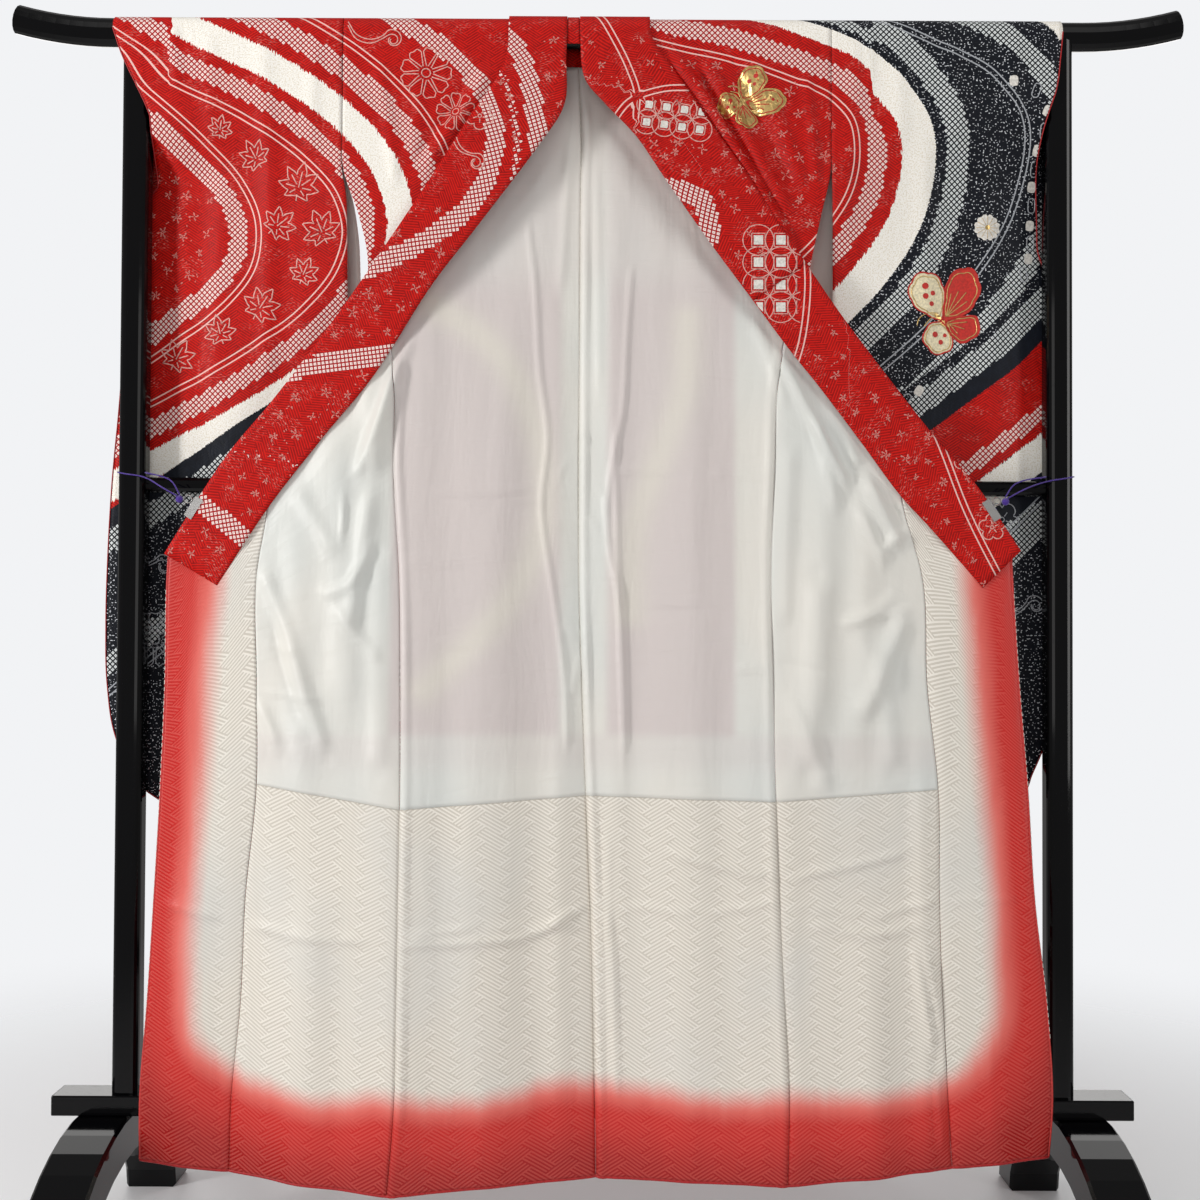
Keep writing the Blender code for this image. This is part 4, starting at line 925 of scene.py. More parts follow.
def make_cloth(node, finish, points, side, fields, across=None, along=None, wall=None, lift=0.0):
    """A cloth piece on a grid: side 1 lies behind the grid, side -1 on the viewer's side.

    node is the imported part's node that it stands for, and fields are kept on its points.
    """
    sizes = bpy.context.scene.furisode_sizes
    lined = finish in LINING_SLOTS
    name = node + ("_satin" if lined else "_silk")
    wall = wall or (sizes.lining_wall if lined else sizes.silk_wall)
    if across is None:
        across, along = grain(points)
    rows, columns = points.shape[:2]
    normals = grid_normals(points)
    moved = points + side * (SEAM / 2 + lift) * normals
    shape = bmesh.new()
    bmesh.ops.create_grid(shape, x_segments=columns - 1, y_segments=rows - 1, size=1.0)
    mesh = mesh_from(shape, name)
    flat = np.zeros(len(mesh.vertices) * 3)
    mesh.vertices.foreach_get("co", flat)
    flat = flat.reshape(-1, 3)
    column = np.rint((flat[:, 0] + 1) / 2 * (columns - 1)).astype(int)
    row = np.rint((1 - flat[:, 1]) / 2 * (rows - 1)).astype(int)
    mesh.vertices.foreach_set("co", moved[row, column].ravel())
    corners = np.zeros(len(mesh.loops), int)
    mesh.loops.foreach_get("vertex_index", corners)
    layer = mesh.uv_layers.new(name="cloth")
    spots = np.stack([across[row, column], along[row, column]], axis=1)
    layer.data.foreach_set("uv", spots[corners].ravel())
    for field_name, values in fields.items():
        kind, part = ("FLOAT_VECTOR", "vector") if values.ndim == 3 else ("FLOAT", "value")
        held = mesh.attributes.new(field_name, kind, "POINT")
        held.data.foreach_set(part, values[row, column].ravel())
    mesh.shade_smooth()
    mesh.update()
    piece = add_piece(name, mesh, finish, wall, -side)
    if node in NODES:
        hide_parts(node)
    SURFACES[node] = points + side * (SEAM / 2 + lift + wall) * normals


class Value:
    """A number or colour in a material's nodes. Sums, products and tests on it add Math nodes."""

    def __init__(self, finish, socket):
        self.finish = finish
        self.socket = socket

    def math(self, operation, *others):
        inputs = dict(enumerate((self, *others)))
        return self.finish.node("ShaderNodeMath", {"operation": operation}, inputs)

    def __add__(self, other):
        return self.math("ADD", other)

    __radd__ = __add__

    def __sub__(self, other):
        return self.math("SUBTRACT", other)

    def __rsub__(self, other):
        return self.finish.node("ShaderNodeMath", {"operation": "SUBTRACT"}, {0: other, 1: self})

    def __mul__(self, other):
        return self.math("MULTIPLY", other)

    def __truediv__(self, other):
        return self.math("DIVIDE", other)

    def __gt__(self, other):
        return self.math("GREATER_THAN", other)

    def __lt__(self, other):
        return self.math("LESS_THAN", other)

    def within(self, low, high):
        return (self > low) * (self < high)

    def eased(self, low, high):
        """0 below low, 1 above high and a smooth step between."""
        settings = {"interpolation_type": "SMOOTHSTEP"}
        inputs = {"Value": self, "From Min": low, "From Max": high}
        return self.finish.node("ShaderNodeMapRange", settings, inputs)

    def out(self, name):
        """Another output of the same node."""
        return Value(self.finish, self.socket.node.outputs[name])


class Finish:
    """One material built from nodes."""

    def __init__(self, name, colour, roughness, **shader_values):
        self.material = bpy.data.materials.new(name)
        self.material.use_nodes = True
        self.tree = self.material.node_tree
        self.shader = self.tree.nodes["Principled BSDF"]
        self.set(Base_Color=colour, Roughness=roughness, **shader_values)
        self.material.diffuse_color = colour

    def set(self, **shader_values):
        for name, value in shader_values.items():
            self.feed(self.shader.inputs[name.replace("_", " ")], value)

    def feed(self, socket, value):
        if isinstance(value, Value):
            self.tree.links.new(value.socket, socket)
        else:
            socket.default_value = value

    def node(self, kind, settings=None, inputs=None, output=0):
        made = self.tree.nodes.new(kind)
        for name, value in (settings or {}).items():
            setattr(made, name, value)
        for name, value in (inputs or {}).items():
            self.feed(made.inputs[name], value)
        return Value(self, made.outputs[output])

    def mix(self, share, first, second):
        return self.node("ShaderNodeMix", {"data_type": "RGBA"}, {0: share, 6: first, 7: second}, 2)

    def noise(self, vector, scale, detail=2.0, roughness=0.5, distortion=0.0):
        names = ("Vector", "Scale", "Detail", "Roughness", "Distortion")
        values = (vector, scale, detail, roughness, distortion)
        return self.node("ShaderNodeTexNoise", None, dict(zip(names, values)), "Fac")

    def stretched(self, vector, scale):
        return self.node("ShaderNodeVectorMath", {"operation": "MULTIPLY"}, {0: vector, 1: scale})

    def parts(self, vector):
        first = self.node("ShaderNodeSeparateXYZ", None, {0: vector}, "X")
        return first, first.out("Y"), first.out("Z")

    def spot(self):
        """The object's own coordinates."""
        return self.node("ShaderNodeTexCoord", None, None, "Object")

    def relief(self, height, distance, strength):
        inputs = {"Height": height, "Distance": distance, "Strength": strength}
        self.set(Normal=self.node("ShaderNodeBump", None, inputs, "Normal"))


class Cloth(Finish):
    """A cloth material: it reads the UV map in metres and the band distances kept on the cloth."""

    def __init__(self, name, colour, roughness, **shader_values):
        super().__init__(name, colour, roughness, **shader_values)
        self.grain = self.node("ShaderNodeUVMap", {"uv_map": "cloth"})
        self.across, self.along, _ = self.parts(self.grain)
        self.held = {}

    def field(self, name):
        """The distance to a guide line and its slope across and along the cloth."""
        if name not in self.held:
            vector = self.node("ShaderNodeAttribute", {"attribute_name": name}, None, "Vector")
            self.held[name] = self.parts(vector)
        return self.held[name]

    def share(self, name):
        """A plain number kept on the cloth."""
        return self.node("ShaderNodeAttribute", {"attribute_name": name}, None, "Fac")

    def mottle(self, across, along, detail, roughness=0.5, distortion=0.0):
        """Noise with so many cells to a metre across and along the cloth."""
        scaled = self.stretched(self.grain, (across, along, 1.0))
        return self.noise(scaled, 1.0, detail, roughness, distortion)

    def fret(self, pitch, block=3, stretch=1.54):
        """Strips of slanting lines that interlock left and right, as a figured weave has."""
        slant = self.across / (pitch * stretch)
        rise = self.along / pitch
        first = slant + rise
        second = slant - rise
        turn = (first / block).math("FLOOR") + (second / block).math("FLOOR")
        odd = (turn * 0.25).math("FRACT") > 0.4
        first_line = first.math("FRACT") > 0.5
        second_line = second.math("FRACT") > 0.5
        return first_line + (second_line - first_line) * odd

    def in_cell(self, pitch):
        """Where a point lies in its cell of a grid on the bias, from -0.5 to 0.5 each way."""
        first = ((self.across + self.along) * (BIAS / pitch)).math("FRACT") - 0.5
        second = ((self.across - self.along) * (BIAS / pitch)).math("FRACT") - 0.5
        return first, second

    def cells(self, pitch):
        """The tied dots of kanoko: a light square to each cell with a dark point in it."""
        first, second = self.in_cell(pitch)
        reach = first.math("ABSOLUTE").math("MAXIMUM", second.math("ABSOLUTE"))
        light = 1 - reach.eased(0.29, 0.39)
        point = (1 - reach.eased(0.05, 0.13)) * 0.7
        return light * (1 - point), light

    def stepped(self, name, pitch):
        """A distance that is the same all over each cell, so that a band's edge steps."""
        value, slope_across, slope_along = self.field(name)
        first, second = self.in_cell(pitch)
        rise = first * (slope_across + slope_along) + second * (slope_across - slope_along)
        return value - rise * (pitch * BIAS)


def tint(red, green, blue):
    """A screen colour, 0 to 255, as the shader's own numbers."""
    return (*(round((part / 255) ** 2.2, 4) for part in (red, green, blue)), 1.0)


def silk(name, bands):
    """The dyed outer silk: a red ground with bands over it, each (kind, field, from, to)."""
    sizes = bpy.context.scene.furisode_sizes
    cloth = Cloth(name, tint(200, 36, 32), 0.5, Specular_IOR_Level=0.2)
    pitch = sizes.dot_pitch
    wave = cloth.mottle(9.0, 26.0, 3.0)
    crinkle = cloth.mottle(150.0, 60.0, 2.0, 0.6, 0.6)
    fine = cloth.mottle(700.0, 260.0, 1.0)
    fret = cloth.fret(SILK_FRET)
    ragged = (cloth.mottle(420.0, 420.0, 1.0) - 0.5) * 0.005
    fibres = (cloth.mottle(520.0, 90.0, 1.0) - 0.5) * 0.012
    dots, light = cloth.cells(pitch)

    shade = fret * 0.46 + crinkle * 0.5 + wave * 0.34
    ground = cloth.mix(shade.eased(0.20, 1.0), tint(136, 5, 7), tint(212, 27, 17))
    cloud = cloth.mottle(22.0, 30.0, 1.0).eased(0.50, 0.62)
    dashes = cloth.mottle(210.0, 760.0, 0.0).eased(0.60, 0.68)
    specks = cloth.mottle(400.0, 400.0, 0.0)
    grains = cloth.mottle(470.0, 470.0, 1.0)
    kinds = {
        "red": cloth.mix(cloud * dashes * 0.42, ground, tint(236, 150, 140)),
        "night": cloth.mix(specks.eased(0.66, 0.73), tint(17, 21, 30), tint(216, 220, 226)),
        "black": cloth.mix(crinkle, tint(10, 13, 20), tint(32, 37, 48)),
        "cream": cloth.mix(grains.eased(0.49, 0.60), tint(255, 252, 245), tint(238, 231, 216)),
        "pink dots": cloth.mix(dots, tint(172, 20, 22), tint(255, 234, 228)),
        "grey dots": cloth.mix(dots, tint(16, 20, 28), tint(232, 238, 238)),
        "pink lines": tint(242, 196, 188),
        "grey lines": tint(168, 172, 178),
    }
    shown = kinds["red"]
    dotted = 0.0
    for kind, field_name, low, high in bands:
        value, _, _ = cloth.field(field_name)
        if kind.endswith("dots"):
            mask = cloth.stepped(field_name, pitch).within(low, high)
            dotted = mask + dotted
        elif kind.endswith("lines"):
            from_middle = (value - (low + high) / 2).math("ABSOLUTE")
            mask = (from_middle - (high - low) / 2).math("ABSOLUTE") < sizes.line_width / 2
        else:
            mask = (value + (fibres if kind == "cream" else ragged)).within(low, high)
        shown = cloth.mix(mask, shown, kinds[kind])
    cloth.set(Base_Color=shown, Roughness=0.46 + fret * 0.10 + crinkle * 0.08)
    height = crinkle * 0.9 + fret * 0.34 + fine * 0.15
    if dotted != 0.0:
        height = height + dotted * light * 0.7
    cloth.relief(height, 0.0011, 0.75)
    return cloth.material


def lining_satin():
    """White silk satin that lets some of the outer silk's colour through."""
    cloth = Cloth("lining_satin", tint(226, 225, 221), 0.36, Specular_IOR_Level=0.36)
    broad = cloth.mottle(5.0, 2.2, 2.0)
    threads = cloth.mottle(1800.0, 60.0, 1.0)
    soft = cloth.mottle(26.0, 5.0, 3.0, 0.55, 0.4)
    creased = cloth.mottle(12.0, 46.0, 2.0, 0.5, 0.8)
    white = cloth.mix(broad.eased(0.3, 0.7), tint(230, 227, 219), tint(219, 222, 218))
    tinted = cloth.mix(cloth.share("sheer") * 0.9, white, tint(212, 202, 200))
    shown = cloth.mix(cloth.share("ghost") * 0.5, tinted, tint(230, 227, 212))
    cloth.set(Base_Color=shown, Roughness=0.32 + threads * 0.10 + soft * 0.08)
    cloth.relief(soft + creased * 0.45 + threads * 0.02, 0.0040, 0.55)
    return cloth.material


def skirt_satin():
    """Figured skirt lining, cream in the middle and dyed red towards its edges."""
    cloth = Cloth("skirt_satin", tint(228, 222, 208), 0.36, Sheen_Weight=0.06, Specular_IOR_Level=0.4)
    fret = cloth.fret(SKIRT_FRET, 4)
    soft = cloth.mottle(26.0, 5.0, 3.0, 0.55, 0.4)
    broad = cloth.mottle(4.0, 3.0, 2.0)
    edge = cloth.share("dye") + (soft - 0.5) * 0.016
    cream = cloth.mix(fret, tint(243, 238, 228), tint(211, 204, 192))
    cool = cloth.mix(broad.eased(0.45, 0.75) * 0.5, cream, tint(216, 217, 214))
    blush = cloth.mix(edge.eased(0.040, 0.0), cool, tint(232, 116, 106))
    red = cloth.mix(edge.eased(0.012, -0.022), blush, tint(200, 38, 34))
    deep = cloth.mix(edge.eased(-0.02, -0.10), red, tint(156, 14, 14))
    lines = fret * 0.24 * edge.eased(0.02, -0.02)
    cloth.set(Base_Color=cloth.mix(lines, deep, tint(240, 120, 108)))
    cloth.set(Roughness=0.30 + fret * 0.24 + soft * 0.05)
    cloth.relief(soft + fret * 0.20, 0.0030, 0.6)
    return cloth.material


def lacquer():
    """Deep black lacquer, polished, with a faint unevenness in its gloss."""
    finish = Finish("black_lacquer_finish", (0.0015, 0.0015, 0.002, 1.0), 0.07, Specular_IOR_Level=0.22)
    spot = finish.spot()
    ripple = finish.noise(spot, 6.0)
    dust = finish.noise(spot, 90.0, 3.0, 0.6)
    finish.set(Roughness=0.055 + ripple * 0.05 + dust.eased(0.55, 0.8) * 0.06)
    finish.relief(ripple, 0.0006, 0.25)
    return finish.material


def steel():
    """Nickelled steel of the spring clips."""
    finish = Finish("clip_steel_finish", (0.72, 0.71, 0.70, 1.0), 0.2, Metallic=1.0)
    brushed = finish.noise(finish.stretched(finish.spot(), (40.0, 40.0, 900.0)), 1.0)
    finish.set(Roughness=0.14 + brushed * 0.16)
    return finish.material


def twisted_silk():
    """Purple twisted cord."""
    finish = Finish("purple_cord_finish", tint(58, 22, 140), 0.55, Sheen_Weight=0.3)
    settings = {"wave_type": "BANDS", "bands_direction": "DIAGONAL"}
    inputs = {"Vector": finish.spot(), "Scale": 420.0, "Distortion": 1.5}
    twist = finish.node("ShaderNodeTexWave", settings, inputs, "Fac")
    finish.set(Base_Color=finish.mix(twist, tint(36, 12, 96), tint(84, 40, 176)))
    finish.relief(twist, 0.0004, 0.8)
    return finish.material


def plain_thread(name, colour, roughness=0.55, metallic=0.0):
    """Dye lines, stitches and rolled edges: one colour, mottled as thread is."""
    finish = Finish(name, colour, roughness, Metallic=metallic)
    mottle = finish.noise(finish.spot(), 320.0)
    darker = (*(0.72 * part for part in colour[:3]), 1.0)
    finish.set(Base_Color=finish.mix(mottle.eased(0.3, 0.7), darker, colour))
    finish.relief(mottle, 0.0004, 0.5)
    return finish.material


def finishes():
    """Every material by name, made the first time that one is asked for."""
    if not FINISHES:
        for name, bands in BANDS.items():
            FINISHES[name] = silk("dyed_silk_" + name, bands)
        FINISHES["lining"] = lining_satin()
        FINISHES["skirt"] = skirt_satin()
        FINISHES["lacquer"] = lacquer()
        FINISHES["steel"] = steel()
        FINISHES["purple"] = twisted_silk()
        for name, colour in THREADS.items():
            FINISHES[name] = plain_thread(name, tint(*colour))
        FINISHES["gold_thread"] = plain_thread("gold_thread", (0.72, 0.50, 0.19, 1.0), 0.30, 0.85)
    return FINISHES


def lay_body_silk(side):
    """The outer silk of one side: back panel over the rail, front panel, overlap and upper front."""
    spacing = bpy.context.scene.furisode_sizes.silk_spacing
    wider, closer = spacing * 1.25, spacing * 0.85
    bands = "body_" + side
    upper = shares(BACK_LENGTH, spacing)
    lower = shares(SKIRT_LENGTH, spacing)
    back = over_rail(seam_pair(side, "side_" + side, "centre", upper, lower, spacing), WRAP_RADIUS, 1)
    make_cloth("body_back_" + side, bands, back, 1, *fold_fields(back, bands))

    lower = shares(SKIRT_LENGTH, wider)
    pairs = (
        ("body_front_", "okumi_" + side, "side_" + side + "_front", FRONT_LENGTH, BENT_SEAM),
        ("okumi_", "edge_" + side, "okumi_" + side, OKUMI_LENGTH, SEAM / 2),
    )
    for name, first, second, length, gap in pairs:
        upper = shares(length, wider)
        sheet = seam_pair(side, first, second, upper, lower, wider, (gap, BENT_SEAM))
        make_cloth(name + side, "front", sheet, 1, *fold_fields(sheet, "front"), lift=FRONT_LIFT)

    heights = heights_down(FRONT_FOOT, closer)
    edges = [edge_points(FRONT_HEIGHTS, line, FRONT_DEPTHS, heights) for line in FRONT_EDGES[side]]
    if side == "right":
        edges.reverse()
    hanging = between(*edges, int(FRONT_WIDTH / closer))
    hanging[:, :, 1] -= ridge_height(SHOULDER_RIDGES, hanging[:, :, 0], hanging[:, :, 2])
    whole = over_rail(hanging, WRAP_RADIUS, -1)
    fields = fold_fields(whole, bands, thinned=None if side == "left" else 1.0)
    make_cloth("shoulder_front_" + side, bands, whole, -1, *fields)


def clear_of_collar(across, height):
    """0 behind the collar strips and 1 away from them."""
    edges = {side: np.stack([table[0], -np.array(table[1])], axis=1) for side, table in COLLARS.items()}
    left, right = edges["left"], edges["right"][::-1]
    gap = np.minimum(distance_to(left, across, -height), distance_to(right, across, -height))
    below = np.maximum(1.0 - height, 0) * 2
    return eased(np.maximum(gap, below), *COLLAR_CLEAR)


def puffed(points, rolls=(0.0, 0.0)):
    """Points moved towards the viewer by fullness, folds and rolled seams, not under the collar."""
    across, height = points[:, :, 0], points[:, :, 2]
    share = np.linspace(-1, 1, points.shape[1])[None, :]
    full = 1 - np.abs(share) ** 10
    wave = np.sin(across / 0.0095 + 1.6 * np.sin(height * 3.1)) * np.sin(height * 5.3 + across * 9.0)
    slow = np.sin(across / 0.021 + 2.2 * np.sin(height * 1.7 + 0.6))
    lift = full * (FULLNESS + SLOW_WAVE * slow + FINE_WAVE * wave)
    lift += ridge_height(LINING_RIDGES, across, height)
    lift += CREASE_GAIN * fold_height(LINING_CREASES, across, height)
    for roll, edge in zip(rolls, (across - across[:, :1], across[:, -1:] - across)):
        sway = 1 + 0.25 * np.sin(height * 23.0 + 1.3)
        lift += roll * sway * np.exp(-(((edge - 0.0075) / 0.0052) ** 2))
    moved = points.copy()
    moved[:, :, 1] -= lift * clear_of_collar(across, height)
    return moved


def drawn_in(points, row, inner):
    """The first or last row moved towards the row within by half a seam."""
    part = points.copy()
    step = part[inner] - part[row]
    part[row] += step * (SEAM / 2) / np.linalg.norm(step, axis=1, keepdims=True)
    return part


def sheer_fields(points):
    """Where the outer silk shows through the lining, and the pale bands seen through it."""
    across, height = points[:, :, 0], points[:, :, 2]
    down = eased(height, 0.716, 0.736) * (1 - 0.7 * eased(height, 1.34, 1.42))
    seen = np.maximum(*(over_stretch(across, *stretch) for stretch in SHEER_STRETCHES))
    dim = 0.35 * eased(height, 0.66, 0.70) * (1 - down)
    ghost = np.zeros_like(across)
    for guide in GHOST_LINES:
        gap = distance_to(smooth_line(guide), across, height)
        ghost = np.maximum(ghost, np.exp(-((gap / GHOST_HALF_WIDTH) ** 2)))
    return {"sheer": np.clip(down * seen + dim, 0, 1), "ghost": ghost}


def lay_linings(side):
    """The white lining and the figured skirt lining on the inner face of one side."""
    spacing = bpy.context.scene.furisode_sizes.lining_spacing
    lower = shares(SKIRT_LENGTH, spacing)
    top, foot = np.array([0.0]), np.array([1.0])
    seam = "side_" + side
    rolls = (SEAM_ROLL, 0.0) if side == "left" else (1.5 * SEAM_ROLL, SEAM_ROLL)
    rows = (
        ("back_", seam, "centre", 1.08, 0.10 * OPEN_SHARE, rolls),
        ("front_", "okumi_" + side, seam + "_front", FRONT_LENGTH, 0.0, (0.0, 0.0)),
    )
    for name, first, second, length, start, roll in rows:
        upper = start + (1 - start) * shares(length, spacing * 1.3)
        sheet = seam_pair(side, first, second, upper, top, spacing * 0.8)
        sheet = puffed(drawn_in(sheet, -1, -2), roll)
        make_cloth("lining_" + name + side, "lining", sheet, -1, sheer_fields(sheet))
    for name, first, second, _, _, roll in rows:
        sheet = seam_pair(side, first, second, foot, lower, spacing)
        make_skirt_piece("hakkake_" + name + side, puffed(drawn_in(sheet, 0, 1), roll))
    upper = shares(OKUMI_LENGTH, spacing)
    gaps = (SEAM / 2, BENT_SEAM)
    sheet = seam_pair(side, "edge_" + side, "okumi_" + side, upper, lower, spacing, gaps)
    make_skirt_piece("hakkake_okumi_" + side, puffed(sheet))


def make_skirt_piece(node, sheet):
    line = smooth_line([(x, -z) for x, z in DYE_LINE], 300)
    dye = distance_to(line, sheet[:, :, 0], -sheet[:, :, 2])
    make_cloth(node, "skirt", sheet, -1, {"dye": dye})


def lay_collar(side):
    """The collar strip over the rail and down one front, and the cover sewn on its upper half."""
    spacing = bpy.context.scene.furisode_sizes.silk_spacing
    bands = "collar_" + side
    free_across, free_height, outer_across, outer_height, depth = COLLARS[side]
    keys = range(len(depth))
    parts = (
        ("collar_", keys[-1], COLLAR_WALL, 0.0),
        ("over_collar_", keys[-1] * OVER_COLLAR_SHARE[side], SILK, COLLAR_WALL + SEAM),
    )
    for name, reach, wall, lift in parts:
        stations = np.linspace(0, reach, row_count(reach * STATION_GAP, spacing))
        edges = []
        for columns in ((outer_across, depth, outer_height), (free_across, depth, free_height)):
            edges.append(np.stack([read_smooth(keys, column, stations) for column in columns], axis=1))
        if side == "right":
            edges.reverse()
        hanging = between(*edges, int(COLLAR_WIDTH / spacing) + 2)
        points = over_rail(hanging, COLLAR_WRAP_RADIUS, -1)
        fields, _, _ = fold_fields(points, bands)
        width = np.linalg.norm(np.diff(points, axis=1), axis=2)
        across = np.concatenate([np.zeros((len(points), 1)), np.cumsum(width, axis=1)], axis=1)
        _, along = grain(points)
        fields = {kept: with_slope(value[:, :, 0], across, along) for kept, value in fields.items()}
        make_cloth(name + side, bands, points, -1, fields, across, along, wall, lift)


def lay_nape():
    """The collar's back part, behind the neck."""
    spacing = bpy.context.scene.furisode_sizes.silk_spacing
    across = np.linspace(*NAPE_ENDS, int(NAPE_WIDTH / spacing))
    rows = []
    for height in heights_down(NAPE_FOOT, spacing):
        depth = read_smooth(CENTRE_BACK[0], CENTRE_BACK[2], height) + NAPE_GAP
        rows.append(np.stack([across, np.full_like(across, depth), np.full_like(across, height)], axis=1))
    points = over_rail(np.array(rows), COLLAR_WRAP_RADIUS, 1)
    make_cloth(
        "collar_nape", "collar_left", points, 1, *fold_fields(points, "collar_left"), wall=COLLAR_WALL
    )


def lay_turn():
    """The collar's top edge between the two strips, turned down over the front of the rail."""
    spacing = bpy.context.scene.furisode_sizes.silk_spacing
    heights = heights_down(TURN_FOOT, spacing / 2)
    edges = []
    for side, push in (("left", SEAM), ("right", -SEAM)):
        free_across, free_height = COLLARS[side][:2]
        across = np.interp(-heights, -np.array(free_height[:3]), free_across[:3]) + push
        edges.append(np.stack([across, np.full(len(heights), -COLLAR_WRAP_RADIUS), heights], axis=1))
    points = over_rail(between(*edges, 7), COLLAR_WRAP_RADIUS, -1)
    make_cloth(
        "collar_turn", "collar_left", points, -1, *fold_fields(points, "collar_left"), wall=COLLAR_WALL
    )


def sleeve_grid(layer, side, heights, columns):
    inner_across, outer_across, outer_depth = SLEEVES[layer + "_" + side]
    inner_depth = SLEEVE_DEPTHS[0 if layer == "front" else 1]
    inner = edge_points(SLEEVE_HEIGHTS, inner_across, inner_depth, heights)
    outer = edge_points(SLEEVE_HEIGHTS, outer_across, outer_depth, heights)
    return between(inner, outer, columns) if side == "right" else between(outer, inner, columns)


def lay_sleeve(side):
    """Both layers of a sleeve, and the lining strip that shows in its armhole gap."""
    spacing = bpy.context.scene.furisode_sizes.silk_spacing
    right = side == "right"
    bands = "sleeve_" + side
    heights = heights_down(SLEEVE_BOTTOM, spacing)
    columns = int(SLEEVE_WIDTH / spacing)
    front = sleeve_grid("front", side, heights, columns)
    back = sleeve_grid("back", side, heights, columns)
    share = np.linspace(0, 1, columns)
    belly = 4 * share * (1 - share)
    drop = np.clip((BELLY_TOP - heights) / BELLY_FADE[0], 0, 1)
    drop *= np.clip((heights - SLEEVE_BOTTOM) / BELLY_FADE[1], 0, 1)
    back[:, :, 1] += SLEEVE_BELLY * drop[:, None] * belly[None, :]
    reach = over_stretch(heights, *POST_STRETCH)
    pull = (share if right else 1 - share)[None, :] ** 4 * reach[:, None]
    if right:
        behind = reach * (1 - eased(heights, *TUCKED_BELOW))
        front[:, :, 0] += SLEEVE_PULL * share[None, :] ** 4 * behind[:, None]
        back[:, :, 0] += SLEEVE_PULL * pull
        gap = over_stretch(heights, *ARMHOLE_STRETCH)
        back[:, :, 0] -= ARMHOLE_PULL * (1 - share[None, :]) ** 4 * gap[:, None]
    else:
        front[:, :, 0] -= np.clip(front[:, :1, 0] + POST_REACH, 0, 1) * pull
    front = with_folds(front, SLEEVE_FOLDS)
    front = with_folds(front, SLEEVE_CREASES)
    back[:, :, 1] += fold_height(SLEEVE_FOLDS, back[:, :, 0] + 0.03, back[:, :, 2]) * 0.8
    ends = front[0, 0, 0], front[0, -1, 0]
    for layer, sheet, wall_side in (("front_", front, -1), ("back_", back, 1)):
        points = over_rail(sheet, WRAP_RADIUS, wall_side, ends)
        fields = fold_fields(points, bands, TUCKS[side], TUCKS[side][0] if right else None)
        make_cloth("sleeve_" + layer + side, bands, points, wall_side, *fields)
    low, high = int(len(back) * 0.10), int(len(back) * 0.93)
    third = columns // 3
    strip = back[low:high, :third] if right else back[low:high, columns - third :]
    zero = np.zeros(strip.shape[:2])
    make_cloth("sleeve_lining_" + side, "lining", strip, -1, {"sheer": zero, "ghost": zero})


def length(name, description, default):
    return bpy.props.FloatProperty(name=name, description=description, default=default, unit="LENGTH")


class FurisodeSizes(bpy.types.PropertyGroup):
    """Sizes of the cloth pieces and of the dyed pattern."""

    silk_spacing: length("Silk grid", "Distance between rows of the outer silk", 0.007)
    lining_spacing: length("Lining grid", "Distance between rows of the linings", 0.0052)
    silk_wall: length("Silk wall", "Thickness of the outer silk", 0.0009)
    lining_wall: length("Lining wall", "Thickness of the linings", 0.0006)
    dot_pitch: length("Dot pitch", "Distance between tied kanoko dots", 0.0058)
    line_width: length("Line width", "Width of the dyed lines", 0.0020)
    roll_radius: length("Hem roll", "Radius of the rolled hem", 0.0022)


class FurisodeStudio(bpy.types.PropertyGroup):
    """Camera and light."""

    lens: bpy.props.FloatProperty(name="Lens", description="Focal length, millimetres", default=45.87)
    distance: length("Distance", "From the camera to the rail", 2.2)
    background: bpy.props.FloatVectorProperty(
        name="Background",
        description="Colour of the studio",
        default=(0.887, 0.896, 0.914),
        subtype="COLOR",
    )
    key: bpy.props.FloatProperty(name="Key light", description="Power of each front light", default=30.0)


